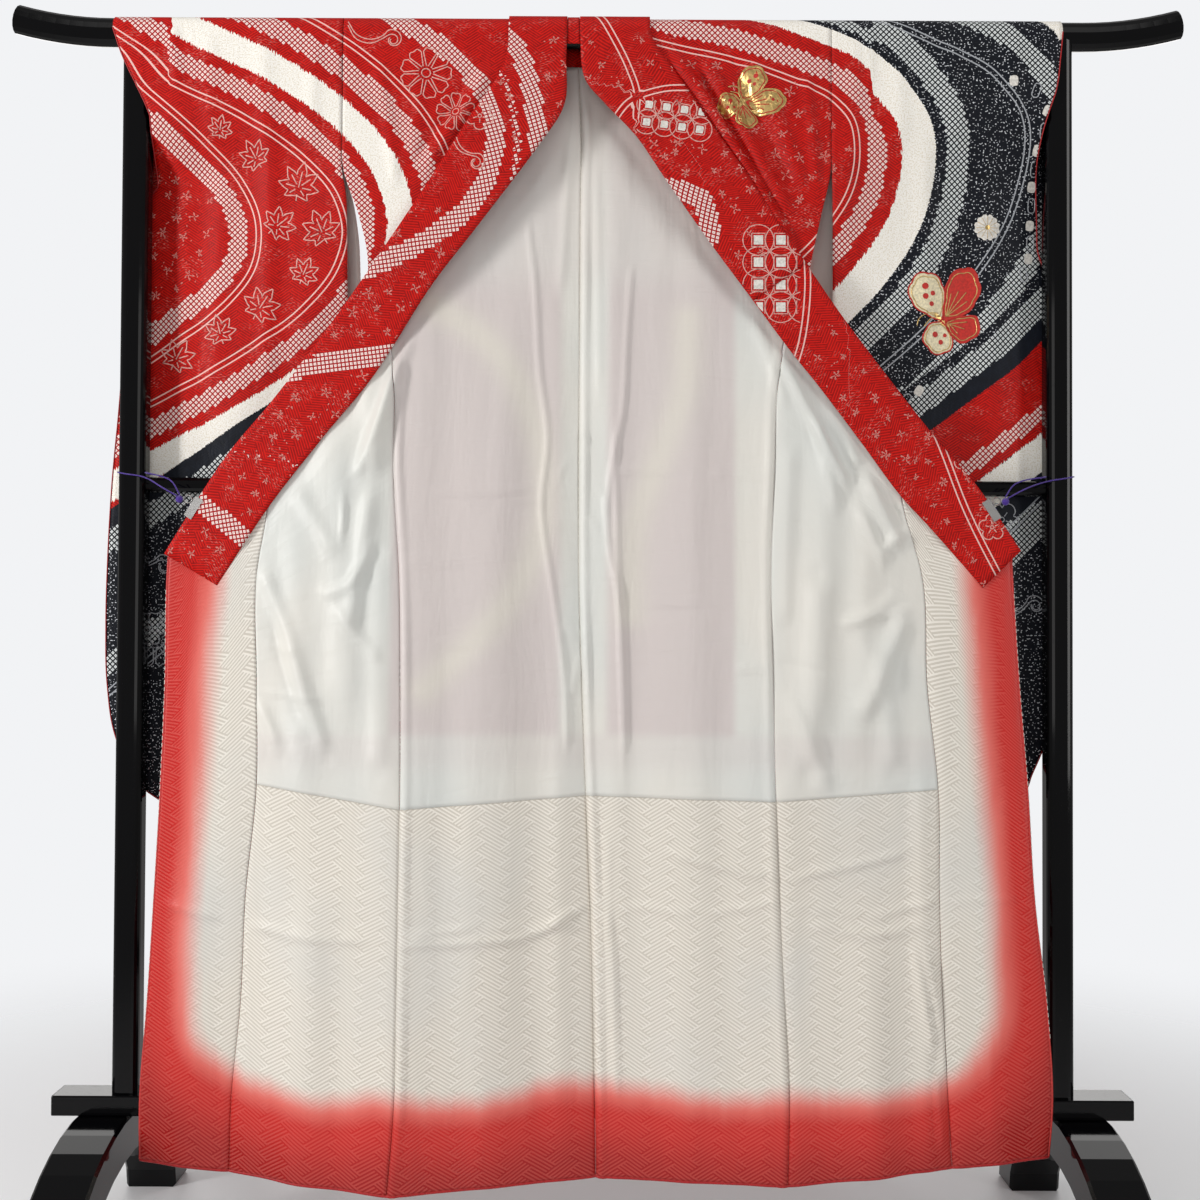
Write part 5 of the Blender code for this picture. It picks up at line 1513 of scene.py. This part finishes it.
class FURISODE_OT_studio(bpy.types.Operator):
    """Camera, soft lights, pale world and pale floor"""

    bl_idname = "furisode.studio"
    bl_label = "Studio"

    def execute(self, context):
        studio = context.scene.furisode_studio
        forward = Vector((0, math.cos(CAMERA_PITCH), math.sin(CAMERA_PITCH)))
        level = Vector((1, 0, 0))
        level_up = Vector((0, -math.sin(CAMERA_PITCH), math.cos(CAMERA_PITCH)))
        right = level * math.cos(CAMERA_ROLL) + level_up * math.sin(CAMERA_ROLL)
        up = level_up * math.cos(CAMERA_ROLL) - level * math.sin(CAMERA_ROLL)
        data = bpy.data.cameras.new("photograph")
        data.lens = studio.lens
        data.sensor_width = 36.0
        camera = bpy.data.objects.new("photograph", data)
        place = Matrix.Translation((CAMERA_ACROSS, -studio.distance, CAMERA_HEIGHT))
        camera.matrix_world = place @ Matrix((right, up, -forward)).transposed().to_4x4()
        context.scene.collection.objects.link(camera)
        context.scene.camera = camera
        for name, spot, size, power, target in LIGHTS:
            lamp = bpy.data.lights.new(name, "AREA")
            lamp.shape = "RECTANGLE"
            lamp.size, lamp.size_y = size
            lamp.energy = studio.key * power
            lamp.color = (1.0, 0.985, 0.97)
            held = bpy.data.objects.new(name, lamp)
            held.location = spot
            aim = Vector(target) - Vector(spot)
            held.rotation_euler = aim.to_track_quat("-Z", "Y").to_euler()
            context.scene.collection.objects.link(held)
        context.scene.view_settings.view_transform = "Standard"
        self.light_world(context, studio)
        self.lay_floor(context, studio)
        return {"FINISHED"}

    def light_world(self, context, studio):
        world = bpy.data.worlds.new("pale_studio")
        context.scene.world = world
        world.use_nodes = True
        tree = world.node_tree
        back = tree.nodes["Background"]
        back.inputs["Color"].default_value = (0.89, 0.875, 0.86, 1.0)
        back.inputs["Strength"].default_value = 0.34
        seen = tree.nodes.new("ShaderNodeBackground")
        seen.inputs["Color"].default_value = (*studio.background, 1.0)
        seen.inputs["Strength"].default_value = 1.0
        path = tree.nodes.new("ShaderNodeLightPath")
        choose = tree.nodes.new("ShaderNodeMixShader")
        tree.links.new(path.outputs["Is Camera Ray"], choose.inputs[0])
        tree.links.new(back.outputs[0], choose.inputs[1])
        tree.links.new(seen.outputs[0], choose.inputs[2])
        tree.links.new(choose.outputs[0], tree.nodes["World Output"].inputs["Surface"])

    def lay_floor(self, context, studio):
        """A round pale floor that fades into the studio's own colour."""
        shape = bmesh.new()
        bmesh.ops.create_circle(shape, cap_ends=True, segments=96, radius=2.6)
        mesh = mesh_from(shape, "studio_floor")
        floor = bpy.data.objects.new("studio_floor", mesh)
        context.scene.collection.objects.link(floor)
        finish = Finish("pale_floor", (*studio.background, 1.0), 0.5)
        inputs = {0: finish.spot()}
        reach = finish.node("ShaderNodeVectorMath", {"operation": "LENGTH"}, inputs, "Value")
        finish.set(Alpha=reach.eased(2.4, 0.7))
        mesh.materials.append(finish.material)


def polar(reach, turn):
    return reach * math.sin(turn), reach * math.cos(turn)


def ring_of(count, radius_at):
    """A closed outline from a radius at each angle, starting upwards."""
    turns = np.linspace(0, 2 * math.pi, count + 1)
    radii = np.array([radius_at(turn) for turn in turns])
    return np.stack([radii * np.sin(turns), radii * np.cos(turns)], axis=1)


def maple():
    """A seven-pointed leaf with its ribs and a short stalk."""
    outline = [(0.0, -0.34)]
    ribs = []
    for index, size in enumerate((0.70, 0.92, 1.0, 1.08, 1.0, 0.92, 0.70)):
        turn = math.radians(-132 + 44 * index)
        for swing, reach in ((-17, 0.66), (0, 1.0), (17, 0.66)):
            outline.append(polar(size * reach, turn + math.radians(swing)))
        if index < 6:
            outline.append(polar(0.52, turn + math.radians(22)))
        ribs.append([polar(0.0 if index == 3 else 0.16, turn), polar(0.62 * size, turn)])
    outline.append(outline[0])
    return [outline, *ribs, [(0, -0.30), (0.04, -0.56)]]


def chrysanthemum():
    """Nine long round-tipped petals about a ringed heart, outlines only."""
    lines = [ring_of(14, lambda turn: 0.17)]
    for index in range(9):
        turn = 2 * math.pi * index / 9
        half = math.pi / 9 * 0.86
        petal = []
        for swing, reach in ((-0.35, 0.27), (-0.9, 0.62), (-1.0, 0.84), (-0.55, 0.99), (0, 0.93)):
            petal.append((turn + swing * half, reach))
        petal += [(2 * turn - angle, reach) for angle, reach in petal[-2::-1]]
        lines.append([polar(reach, angle) for angle, reach in petal])
    return lines


def plum():
    """A five-petalled blossom with its stamens."""
    lines = [ring_of(50, lambda turn: 0.66 + 0.34 * abs(math.sin(2.5 * turn)) ** 0.6)]
    lines.append(ring_of(10, lambda turn: 0.14))
    for index in range(5):
        turn = 2 * math.pi * (index + 0.5) / 5
        lines.append([polar(0.22, turn), polar(0.5, turn)])
    return lines


def scroll():
    """A tendril of two lines that ends in a curl."""
    lines = []
    for shift in (0.0, 0.13):
        line = [(-1.0 + shift * 0.3, 0.55 - shift), (-0.6, 0.2 - shift), (-0.1, 0.18 - shift)]
        line.append((0.25, 0.45 - shift))
        for step in range(12):
            x, z = polar((0.34 - shift) * (1 - step / 17), math.radians(-40 + 30 * step))
            line.append((0.55 + x, 0.35 - shift * 0.2 + z))
        lines.append(smooth_line(line, 40))
    return lines


SHAPES = {"maple": maple, "chrysanthemum": chrysanthemum, "plum": plum, "scroll": scroll}


def sprig(seed):
    """Short leaf-like strokes from one foot, with a few specks beside them."""
    chance = random.Random(seed)
    lines = []
    count = chance.choice((4, 5, 5, 6))
    start = chance.uniform(0, math.pi)
    for index in range(count):
        turn = start + 2 * math.pi * index / count + chance.uniform(-0.3, 0.3)
        reach = chance.uniform(0.6, 1.15)
        x, z = polar(0.55 * reach, turn)
        aside, back = math.cos(turn) * 0.10, math.sin(turn) * 0.10
        lines.append([polar(0.12, turn), (x + aside, z - back), polar(reach, turn), (x - aside, z + back)])
    for _ in range(chance.choice((1, 2, 3))):
        x, z = chance.uniform(-1.6, 1.6), chance.uniform(-1.7, -1.1)
        lines.append([(x - 0.14, z), (x + 0.14, z + 0.05)])
    return lines


def from_middle(columns, rows):
    """Places of a square grid, one apart, about its own middle."""
    for row in range(rows):
        for column in range(columns):
            yield np.array((column - (columns - 1) / 2, row - (rows - 1) / 2))


def shippo(columns, rows):
    """Interlocking rings about the middles of a square grid."""
    diagonal = np.array([(1.0, 1.0), (-1.0, 1.0)]) * math.sqrt(0.5)
    lines = []
    for middle in from_middle(columns, rows):
        lines.append(ring_of(32, lambda turn: 0.69) + middle)
        lines.append(ring_of(4, lambda turn: 0.42) @ diagonal + middle)
    return lines


def turned(lines, across, height, size, angle):
    cosine, sine = math.cos(math.radians(angle)), math.sin(math.radians(angle))
    placed = []
    for line in lines:
        line = np.array(line, float) * size
        x = across + line[:, 0] * cosine + line[:, 1] * sine
        z = height - line[:, 0] * sine + line[:, 1] * cosine
        placed.append(np.stack([x, z], axis=1))
    return placed


def pressed(piece, across, height):
    """The point of a cloth piece's outer face that lies straight behind a spot, and its normal."""
    if piece not in TREES:
        points = SURFACES[piece]
        rows, columns = points.shape[:2]
        index = np.arange(rows * columns).reshape(rows, columns)
        quads = np.stack([index[:-1, :-1], index[:-1, 1:], index[1:, 1:], index[1:, :-1]], axis=-1)
        TREES[piece] = BVHTree.FromPolygons(points.reshape(-1, 3).tolist(), quads.reshape(-1, 4).tolist())
    facing = 1.0 if "back" in piece else -1.0
    start, ahead = Vector((across, facing, height)), Vector((0, -facing, 0))
    spot, normal, _, _ = TREES[piece].ray_cast(start, ahead)
    if spot is None or abs(normal.y) < 0.25:
        return None
    return spot, -normal if normal.y * facing < 0 else normal


def add_strip(shape, run, width, rise):
    """One strip: a chain of edges drawn out sideways into faces."""
    if len(run) < 2:
        return
    spots = [spot + normal * rise for spot, normal in run]
    sides = []
    for index, (spot, normal) in enumerate(run):
        ahead = spots[min(index + 1, len(run) - 1)] - spots[max(index - 1, 0)]
        side = normal.cross(ahead)
        side = side.normalized() if side.length > 1e-9 else Vector((1, 0, 0))
        bead = 0.84 + 0.16 * math.cos(index * 2.1)
        sides.append(side * width / 2 * bead)
    chain = [shape.verts.new(spot - side) for spot, side in zip(spots, sides)]
    edges = [shape.edges.new(pair) for pair in zip(chain[:-1], chain[1:])]
    drawn = bmesh.ops.extrude_edge_only(shape, edges=edges)["geom"]
    place_in_chain = {vertex: index for index, vertex in enumerate(chain)}
    for vertex in [item for item in drawn if isinstance(item, bmesh.types.BMVert)]:
        for edge in vertex.link_edges:
            index = place_in_chain.get(edge.other_vert(vertex))
            if index is not None:
                vertex.co += sides[index] * 2
                break


def lay_strips(name, items, width, finish, rise=0.00012):
    """Narrow strips of dye or thread pressed on the cloth. items are (piece, lines)."""
    shape = bmesh.new()
    for piece, lines in items:
        for line in lines:
            run = []
            for x, z in stepped_out(line, 0.0032):
                found = pressed(piece, x, z)
                if found is None:
                    add_strip(shape, run, width, rise)
                    run = []
                else:
                    run.append(found)
            add_strip(shape, run, width, rise)
    mesh = mesh_from(shape, name)
    mesh.shade_smooth()
    add_piece(name, mesh, finish, PRESSED_WALL)


def lay_patches(name, items, finish, rise, rings=4):
    """Filled shapes pressed on the cloth, each spread from its middle. items are (piece, outline)."""
    shape = bmesh.new()
    for piece, outline in items:
        outline = stepped_out(outline, 0.0035)[:-1]
        middle = outline.mean(axis=0)
        made = bmesh.ops.create_grid(shape, x_segments=len(outline), y_segments=rings, size=1.0)
        lost = []
        for vertex in made["verts"]:
            turn = round((vertex.co.x + 1) / 2 * len(outline)) % len(outline)
            x, z = middle + (outline[turn] - middle) * (vertex.co.y + 1) / 2
            found = pressed(piece, x, z)
            if found is None:
                lost.append(vertex)
            else:
                vertex.co = found[0] + found[1] * rise
        if lost:
            bmesh.ops.delete(shape, geom=lost, context="VERTS")
    bmesh.ops.remove_doubles(shape, verts=shape.verts, dist=0.00005)
    add_piece(name, mesh_from(shape, name), finish, PRESSED_WALL)


def scattered(region, gap, size, seed):
    """Places, sizes and turns of sprigs on staggered rows in a box: left, right, top, bottom."""
    left, right, top, bottom = region
    chance = random.Random(seed)
    items = []
    for row in range(int((top - bottom) / (gap * 0.8)) + 1):
        for column in range(int((right - left) / gap) + 1):
            x = left + gap * (column + 0.5 * (row % 2)) + chance.uniform(-0.006, 0.006)
            z = top - gap * 0.8 * row + chance.uniform(-0.006, 0.006)
            big = size * chance.uniform(0.65, 1.15)
            items.append((x, z, big, chance.uniform(0, 360)))
    return items


def on_ground(piece, across, down):
    """True where a sprig would lie on the red ground, clear of every band."""
    bands = "sleeve" if "sleeve" in piece else "collar" if "collar" in piece else "body"
    bands += piece[piece.rindex("_") :]
    spot = np.array([[across]]), np.array([[down]])
    for kind, field_name, low, high in BANDS[bands]:
        guides = LAYOUTS[bands].get(field_name, ())
        gaps = [float(distance_to(smooth_line(guide), *spot)[0, 0]) for guide in guides]
        if gaps and low - 0.008 < min(gaps, key=abs) < high + 0.008 and kind != "red":
            return False
    return True


def scatter_sprigs():
    items = []
    for index, (piece, *numbers) in enumerate(SPRIG_BOXES):
        left, right, top, bottom, gap, size = metres(tuple(numbers))
        region = (left, right, BODY_CROWN - top, BODY_CROWN - bottom)
        for spot, (x, z, big, angle) in enumerate(scattered(region, gap, size, index)):
            if on_ground(piece, x, BODY_CROWN - z):
                items.append((piece, turned(sprig(100 * index + spot), x, z, big, angle)))
    lay_strips("dyed_sprigs", items, 0.0015, "faint_dye_sprigs")


def lay_rings(width):
    """Panels of linked rings, with a light square in the middle of each."""
    rings, squares = [], []
    corners = ((-1, -1), (0, -1), (1, -1), (1, 0), (1, 1), (0, 1), (-1, 1), (-1, 0), (-1, -1))
    for piece, across, down, size, columns, rows, angle, left, right, top, bottom in SHIPPO_PANELS:
        height = BODY_CROWN - down
        inside = []
        for line in turned(shippo(columns, rows), across, height, size, angle):
            depth = BODY_CROWN - line[:, 1]
            held = (line[:, 0] > left) & (line[:, 0] < right) & (depth > top) & (depth < bottom)
            breaks = np.flatnonzero(np.diff(held.astype(int))) + 1
            for run in np.split(np.arange(len(line)), breaks):
                if held[run[0]] and len(run) > 1:
                    inside.append(line[run])
        rings.append((piece, inside))
        for middle in from_middle(columns, rows):
            placed = turned([np.array(corners) * 0.21 + middle], across, height, size, angle)[0]
            x, z = placed.mean(axis=0)
            if left < x < right and top < BODY_CROWN - z < bottom:
                squares.append((piece, placed))
    lay_strips("dyed_rings", rings, width * 0.8, "pink_dye_lines")
    lay_patches("dyed_squares", squares, "white_thread", 0.0003, 2)


def lay_pebbles():
    """A string of light pebbles and ringed ovals down the dark sleeve."""
    light, rings = [], []
    oval = ring_of(16, lambda turn: 1 / max(abs(math.sin(turn)), abs(math.cos(turn))) ** 0.6)
    for index, (across, down, angle) in enumerate(PEBBLES):
        size = ((0.0062, 0.0078), (0.0052, 0.0105))[index % 2]
        placed = turned([oval * size], across / 1000, BODY_CROWN - down / 1000, 1.0, angle)
        for piece in ("sleeve_front_right", "sleeve_back_right"):
            if index % 2:
                rings.append((piece, placed))
            else:
                light.append((piece, placed[0]))
    lay_patches("dyed_pebbles", light, "white_thread", 0.0003, 2)
    lay_strips("dyed_ovals", rings, 0.0018, "grey_dye_lines")


def scalloped(outline, bumps):
    """A wing's outline with a row of small rounded scallops along it."""
    line = smooth_line(outline, 90)
    middle = line.mean(axis=0)
    share = np.linspace(0, 1, len(line))
    bulge = np.abs(np.sin(math.pi * bumps * share)) * np.sin(math.pi * share) ** 0.5
    return middle + (line - middle) * (1 + SCALLOP_DEPTH * bulge)[:, None]


def embroider_butterflies():
    """Embroidered butterflies seen from the side, some in cream and red and some in gold."""
    cream, red, gold, spots, lines, rims, veins = [], [], [], [], [], [], []
    for piece, across, down, size, angle, hand, kind in BUTTERFLIES:
        place = (across, BODY_CROWN - down, size)
        facing = (hand, 1)
        plain = kind == "cream"
        outlines = [scalloped(wing, bumps) * facing for wing, bumps in zip(WINGS, SCALLOPS)]
        wings = turned(outlines, *place, angle)
        upper, far, lower, fan = wings
        body = turned([ring_of(16, lambda turn: 1.0) * (0.055, 0.24)], *place, angle - 30 * hand)
        (cream if plain else gold).extend([(piece, upper), (piece, lower)])
        (red if plain else gold).extend([(piece, far), (piece, fan)])
        gold.append((piece, body[0]))
        for x, z, radius in SPOTS:
            spot = ring_of(9, lambda turn: radius) + (x * hand, z)
            spots.append((piece, turned([spot], *place, angle)[0]))
        ribs = [np.array((foot, tip)) * facing for foot, tips in VEINS for tip in tips]
        feelers = [smooth_line(np.array(points) * facing, count) for points, count in FEELERS]
        inner = [wing.mean(axis=0) + (wing - wing.mean(axis=0)) * 0.84 for wing in wings]
        (lines if plain else veins).append((piece, inner + turned(ribs, *place, angle)))
        (rims if plain else lines).append((piece, wings))
        lines.append((piece, turned(feelers, *place, angle)))
    lay_patches("butterfly_cream", cream, "cream_thread", 0.0003)
    lay_patches("butterfly_red", red, "red_thread", 0.0004)
    lay_patches("butterfly_gold", gold, "gold_thread", 0.0005)
    lay_patches("butterfly_spots", spots, "red_thread", 0.0008, 2)
    lay_strips("butterfly_outlines", lines, 0.0015, "gold_thread", 0.0008)
    lay_strips("butterfly_rims", rims, 0.0024, "red_thread", 0.0008)
    lay_strips("butterfly_veins", veins, 0.0016, "red_thread", 0.0008)


def embroider_white_flowers():
    """Small embroidered chrysanthemums, white with a gold heart."""
    petals, hearts, seams = [], [], []
    outline = ring_of(96, lambda turn: 0.84 + 0.16 * abs(math.sin(6 * turn)) ** 0.7)
    heart = ring_of(12, lambda turn: 0.2)
    spokes = [[polar(0.24, turn), polar(0.82, turn)] for turn in np.arange(12) * math.pi / 6]
    for piece, across, down, size in FLOWERS:
        place = (across, BODY_CROWN - down, size, 0)
        petals.append((piece, turned([outline], *place)[0]))
        hearts.append((piece, turned([heart], *place)[0]))
        seams.append((piece, turned(spokes, *place)))
    lay_patches("flower_petals", petals, "white_thread", 0.0004)
    lay_patches("flower_hearts", hearts, "gold_thread", 0.0008, 2)
    lay_strips("flower_stitches", seams, 0.0007, "gold_thread", 0.0007)


class FURISODE_OT_motifs(bpy.types.Operator):
    """Dyed leaves, blossoms, scrolls, sprigs and rings, and the embroidery"""

    bl_idname = "furisode.motifs"
    bl_label = "Motifs"

    def execute(self, context):
        width = context.scene.furisode_sizes.line_width
        for name, (dye, share, table) in MOTIFS.items():
            items = []
            for piece, rows in table.items():
                for shape, *numbers, angle in rows:
                    across, down, size = metres(tuple(numbers))
                    lines = turned(SHAPES[shape](), across, BODY_CROWN - down, size, angle)
                    items.append((piece, lines))
            lay_strips(name, items, width * share, dye)
        scatter_sprigs()
        lay_rings(width)
        lay_pebbles()
        embroider_butterflies()
        embroider_white_flowers()
        return {"FINISHED"}


def add_tube(name, lines, radius, finish, resolution=3):
    """Round threads or rolls along one or more lines, as one curve object."""
    data = bpy.data.curves.new(name, "CURVE")
    data.dimensions = "3D"
    data.bevel_depth = radius
    data.bevel_resolution = resolution
    data.use_fill_caps = True
    for line in lines:
        spline = data.splines.new("POLY")
        spline.points.add(len(line) - 1)
        for point, spot in zip(spline.points, line):
            point.co = (*spot, 1.0)
        spline.use_smooth = True
    return add_piece(name, data, finish)


def edge_line(node, edge):
    """A line along one side of a cloth piece's outer face."""
    points = SURFACES[node]
    return {"top": points[0], "bottom": points[-1], "left": points[:, 0], "right": points[:, -1]}[edge]


def thinned_to(line, count):
    """A line with so many points, by their order along it."""
    given, wanted = np.linspace(0, 1, len(line)), np.linspace(0, 1, count)
    return np.stack([np.interp(wanted, given, column) for column in line.T], axis=1)


class FURISODE_OT_edges(bpy.types.Operator):
    """Rolled hems, piped edges, seam threads and stitches"""

    bl_idname = "furisode.edges"
    bl_label = "Hems and seams"

    def execute(self, context):
        radius = context.scene.furisode_sizes.roll_radius
        hems, edges, stitches = [], [], []
        for side in SIDES:
            for name in ("hakkake_back_", "hakkake_front_", "hakkake_okumi_"):
                hems.append(edge_line(name + side, "bottom") + (0, radius * 0.7, -radius * 0.3))
            line = edge_line("hakkake_okumi_" + side, side) + (0, radius * 0.5, 0)
            edges.append(line)
            outward = -1 if side == "left" else 1
            stitched = line[(line[:, 2] > STITCHES_LOW) & (line[:, 2] < STITCHES_HIGH)]
            stitched = spread_evenly(smooth_line(stitched, 400), STITCH_POINTS)
            stitched = stitched + (outward * radius * 0.62, -0.0009, 0)
            stitches += [stitched[start : start + 4] for start in range(0, STITCH_POINTS - 4, 5)]
        add_tube("front_edge_stitches", stitches, 0.0006, "white_thread", 1)
        add_tube("hem_roll", hems, radius, "red_edge")
        add_tube("front_edge_roll", edges, radius * 0.8, "skirt_edge_thread")
        seams = {"lining": [], "skirt": []}
        for first, first_edge, second, second_edge, cloth in SEAM_THREADS:
            one, other = edge_line(first, first_edge), edge_line(second, second_edge)
            count = min(len(one), len(other))
            seam = (thinned_to(one, count) + thinned_to(other, count)) / 2 + (0, 0.0005, 0)
            seams[cloth].append(seam[seam[:, 2] > SEAM_THREAD_END])
        cuffs = []
        for side in SIDES:
            for layer in ("front", "back"):
                cuffs.append(edge_line("sleeve_" + layer + "_" + side, side)[CROWN_ROWS:])
        add_tube("cuff_piping", cuffs, 0.0009, "red_edge", 2)
        add_tube("lining_seams", seams["lining"], 0.00075, "lining_seam_thread", 1)
        add_tube("skirt_seams", seams["skirt"], 0.00075, "lining_seam_thread", 1)
        return {"FINISHED"}


def cord_route(side, sign, across, height, edge_x, edge_z):
    """The cord's route from the clip's ring round the post, as in the part's source."""
    middle = COLLARS[side][-1][-1] - SEAM / 2 - COLLAR_WALL / 2
    outward = Vector((sign * abs(edge_z), 0, abs(edge_x)))
    along = Vector((edge_x, 0, edge_z))
    spine = Vector((across, middle, height)) + outward * (CLIP_PLATE + 0.0006)
    ring = spine + outward * (RING_RADIUS + RING_WIRE + SEAM) - along * 0.006
    knot = ring + Vector((sign, 0, 0)) * (RING_RADIUS + RING_WIRE + SEAM + KNOT_RADIUS)
    clear = POST_SIDE / 2 + CORD_RADIUS + SEAM
    flat = clear - 0.0045
    corner = flat + 0.0022
    round_post = (
        (-0.020, -clear - 0.004, -0.007),
        (flat * 0.55, -clear - 0.0008, -0.002),
        (corner, -corner, 0),
        (clear, -flat * 0.4, 0.001),
        (clear, flat * 0.6, 0.001),
        (corner, corner, 0.001),
        (flat * 0.4, clear, 0.001),
        (-flat * 0.4, clear, 0.001),
        (-corner, corner, 0.001),
        (-clear, flat * 0.5, 0.001),
        (-clear, -flat * 0.4, 0.001),
        (-clear - 0.003, -0.024, -0.001),
    )
    level = MID_RAIL_HEIGHT + MID_RAIL_RADIUS + CORD_RADIUS + 0.004
    reach = KNOT_RADIUS + 2 * SEAM
    first = knot + Vector((sign * 0.60, 0, 0.80)) * reach
    route = (
        first,
        first + Vector((sign * 0.018, 0.0005, 0.010)),
        *((sign * (POST_ACROSS + out), depth, level + rise) for out, depth, rise in round_post),
        (knot.x + sign * 0.011, -0.0330, level - 0.015),
        knot + Vector((sign * -0.05, 0, 1.0)) * reach,
    )
    return spread_evenly(smooth_line(route, 400), 110)


def use_finish(node, name):
    """A carried-over CAD node gets a finish of its own."""
    mesh = NODES[node].data
    mesh.materials.clear()
    mesh.materials.append(finishes()[name])


class FURISODE_OT_cords(bpy.types.Operator):
    """Purple cords from the clips round the posts"""

    bl_idname = "furisode.cords"
    bl_label = "Cords"

    def execute(self, context):
        for clip in CLIPS:
            side = clip[0]
            points = cord_route(*clip)
            cord = add_tube("cord_" + side + "_silk", [points], CORD_RADIUS, "purple")
            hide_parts("cord_" + side)
            use_finish("cord_knot_" + side, "purple")
        return {"FINISHED"}


class FURISODE_OT_stand(bpy.types.Operator):
    """Lacquer on the stand and steel on the clips"""

    bl_idname = "furisode.stand"
    bl_label = "Stand and clips"

    def execute(self, context):
        for node in ("top_rail", "mid_rail", "lower_bar"):
            use_finish(node, "lacquer")
        for side in SIDES:
            use_finish("post_" + side, "lacquer")
            use_finish("foot_" + side, "lacquer")
            use_finish("clip_" + side, "steel")
            use_finish("clip_ring_" + side, "steel")
        return {"FINISHED"}


class FURISODE_OT_body(bpy.types.Operator):
    """Back panels, front panels, overlaps and upper fronts of the outer silk"""

    bl_idname = "furisode.body"
    bl_label = "Body"

    def execute(self, context):
        for side in SIDES:
            lay_body_silk(side)
        return {"FINISHED"}


class FURISODE_OT_linings(bpy.types.Operator):
    """White lining and red-edged skirt lining"""

    bl_idname = "furisode.linings"
    bl_label = "Linings"

    def execute(self, context):
        for side in SIDES:
            lay_linings(side)
        return {"FINISHED"}


class FURISODE_OT_collar(bpy.types.Operator):
    """Collar strips, their covers and the part behind the neck"""

    bl_idname = "furisode.collar"
    bl_label = "Collar"

    def execute(self, context):
        for side in SIDES:
            lay_collar(side)
        lay_nape()
        lay_turn()
        return {"FINISHED"}


class FURISODE_OT_sleeves(bpy.types.Operator):
    """Long swinging sleeves, two layers each"""

    bl_idname = "furisode.sleeves"
    bl_label = "Sleeves"

    def execute(self, context):
        for side in SIDES:
            lay_sleeve(side)
        return {"FINISHED"}


class FURISODE_PT_panel(bpy.types.Panel):
    """Buttons and values of the furisode"""

    bl_idname = "FURISODE_PT_panel"
    bl_label = "Furisode"
    bl_space_type = "VIEW_3D"
    bl_region_type = "UI"
    bl_category = "Furisode"

    def draw(self, context):
        for operator in OPERATORS:
            self.layout.operator(operator.bl_idname)
        for group in (context.scene.furisode_sizes, context.scene.furisode_studio):
            for name in type(group).__annotations__:
                self.layout.prop(group, name)


OPERATORS = (
    FURISODE_OT_studio,
    FURISODE_OT_cords,
    FURISODE_OT_stand,
    FURISODE_OT_body,
    FURISODE_OT_linings,
    FURISODE_OT_collar,
    FURISODE_OT_sleeves,
    FURISODE_OT_edges,
    FURISODE_OT_motifs,
)
CLASSES = (FurisodeSizes, FurisodeStudio, *OPERATORS, FURISODE_PT_panel)


def register():
    for item in CLASSES:
        bpy.utils.register_class(item)
    bpy.types.Scene.furisode_sizes = bpy.props.PointerProperty(type=FurisodeSizes)
    bpy.types.Scene.furisode_studio = bpy.props.PointerProperty(type=FurisodeStudio)


def unregister():
    del bpy.types.Scene.furisode_studio
    del bpy.types.Scene.furisode_sizes
    for item in reversed(CLASSES):
        bpy.utils.unregister_class(item)


def main():
    register()
    bpy.ops.furisode.studio()
    bpy.ops.furisode.cords()
    bpy.ops.furisode.stand()
    bpy.ops.furisode.body()
    bpy.ops.furisode.linings()
    bpy.ops.furisode.collar()
    bpy.ops.furisode.sleeves()
    bpy.ops.furisode.edges()
    bpy.ops.furisode.motifs()


if __name__ == "__main__":
    main()
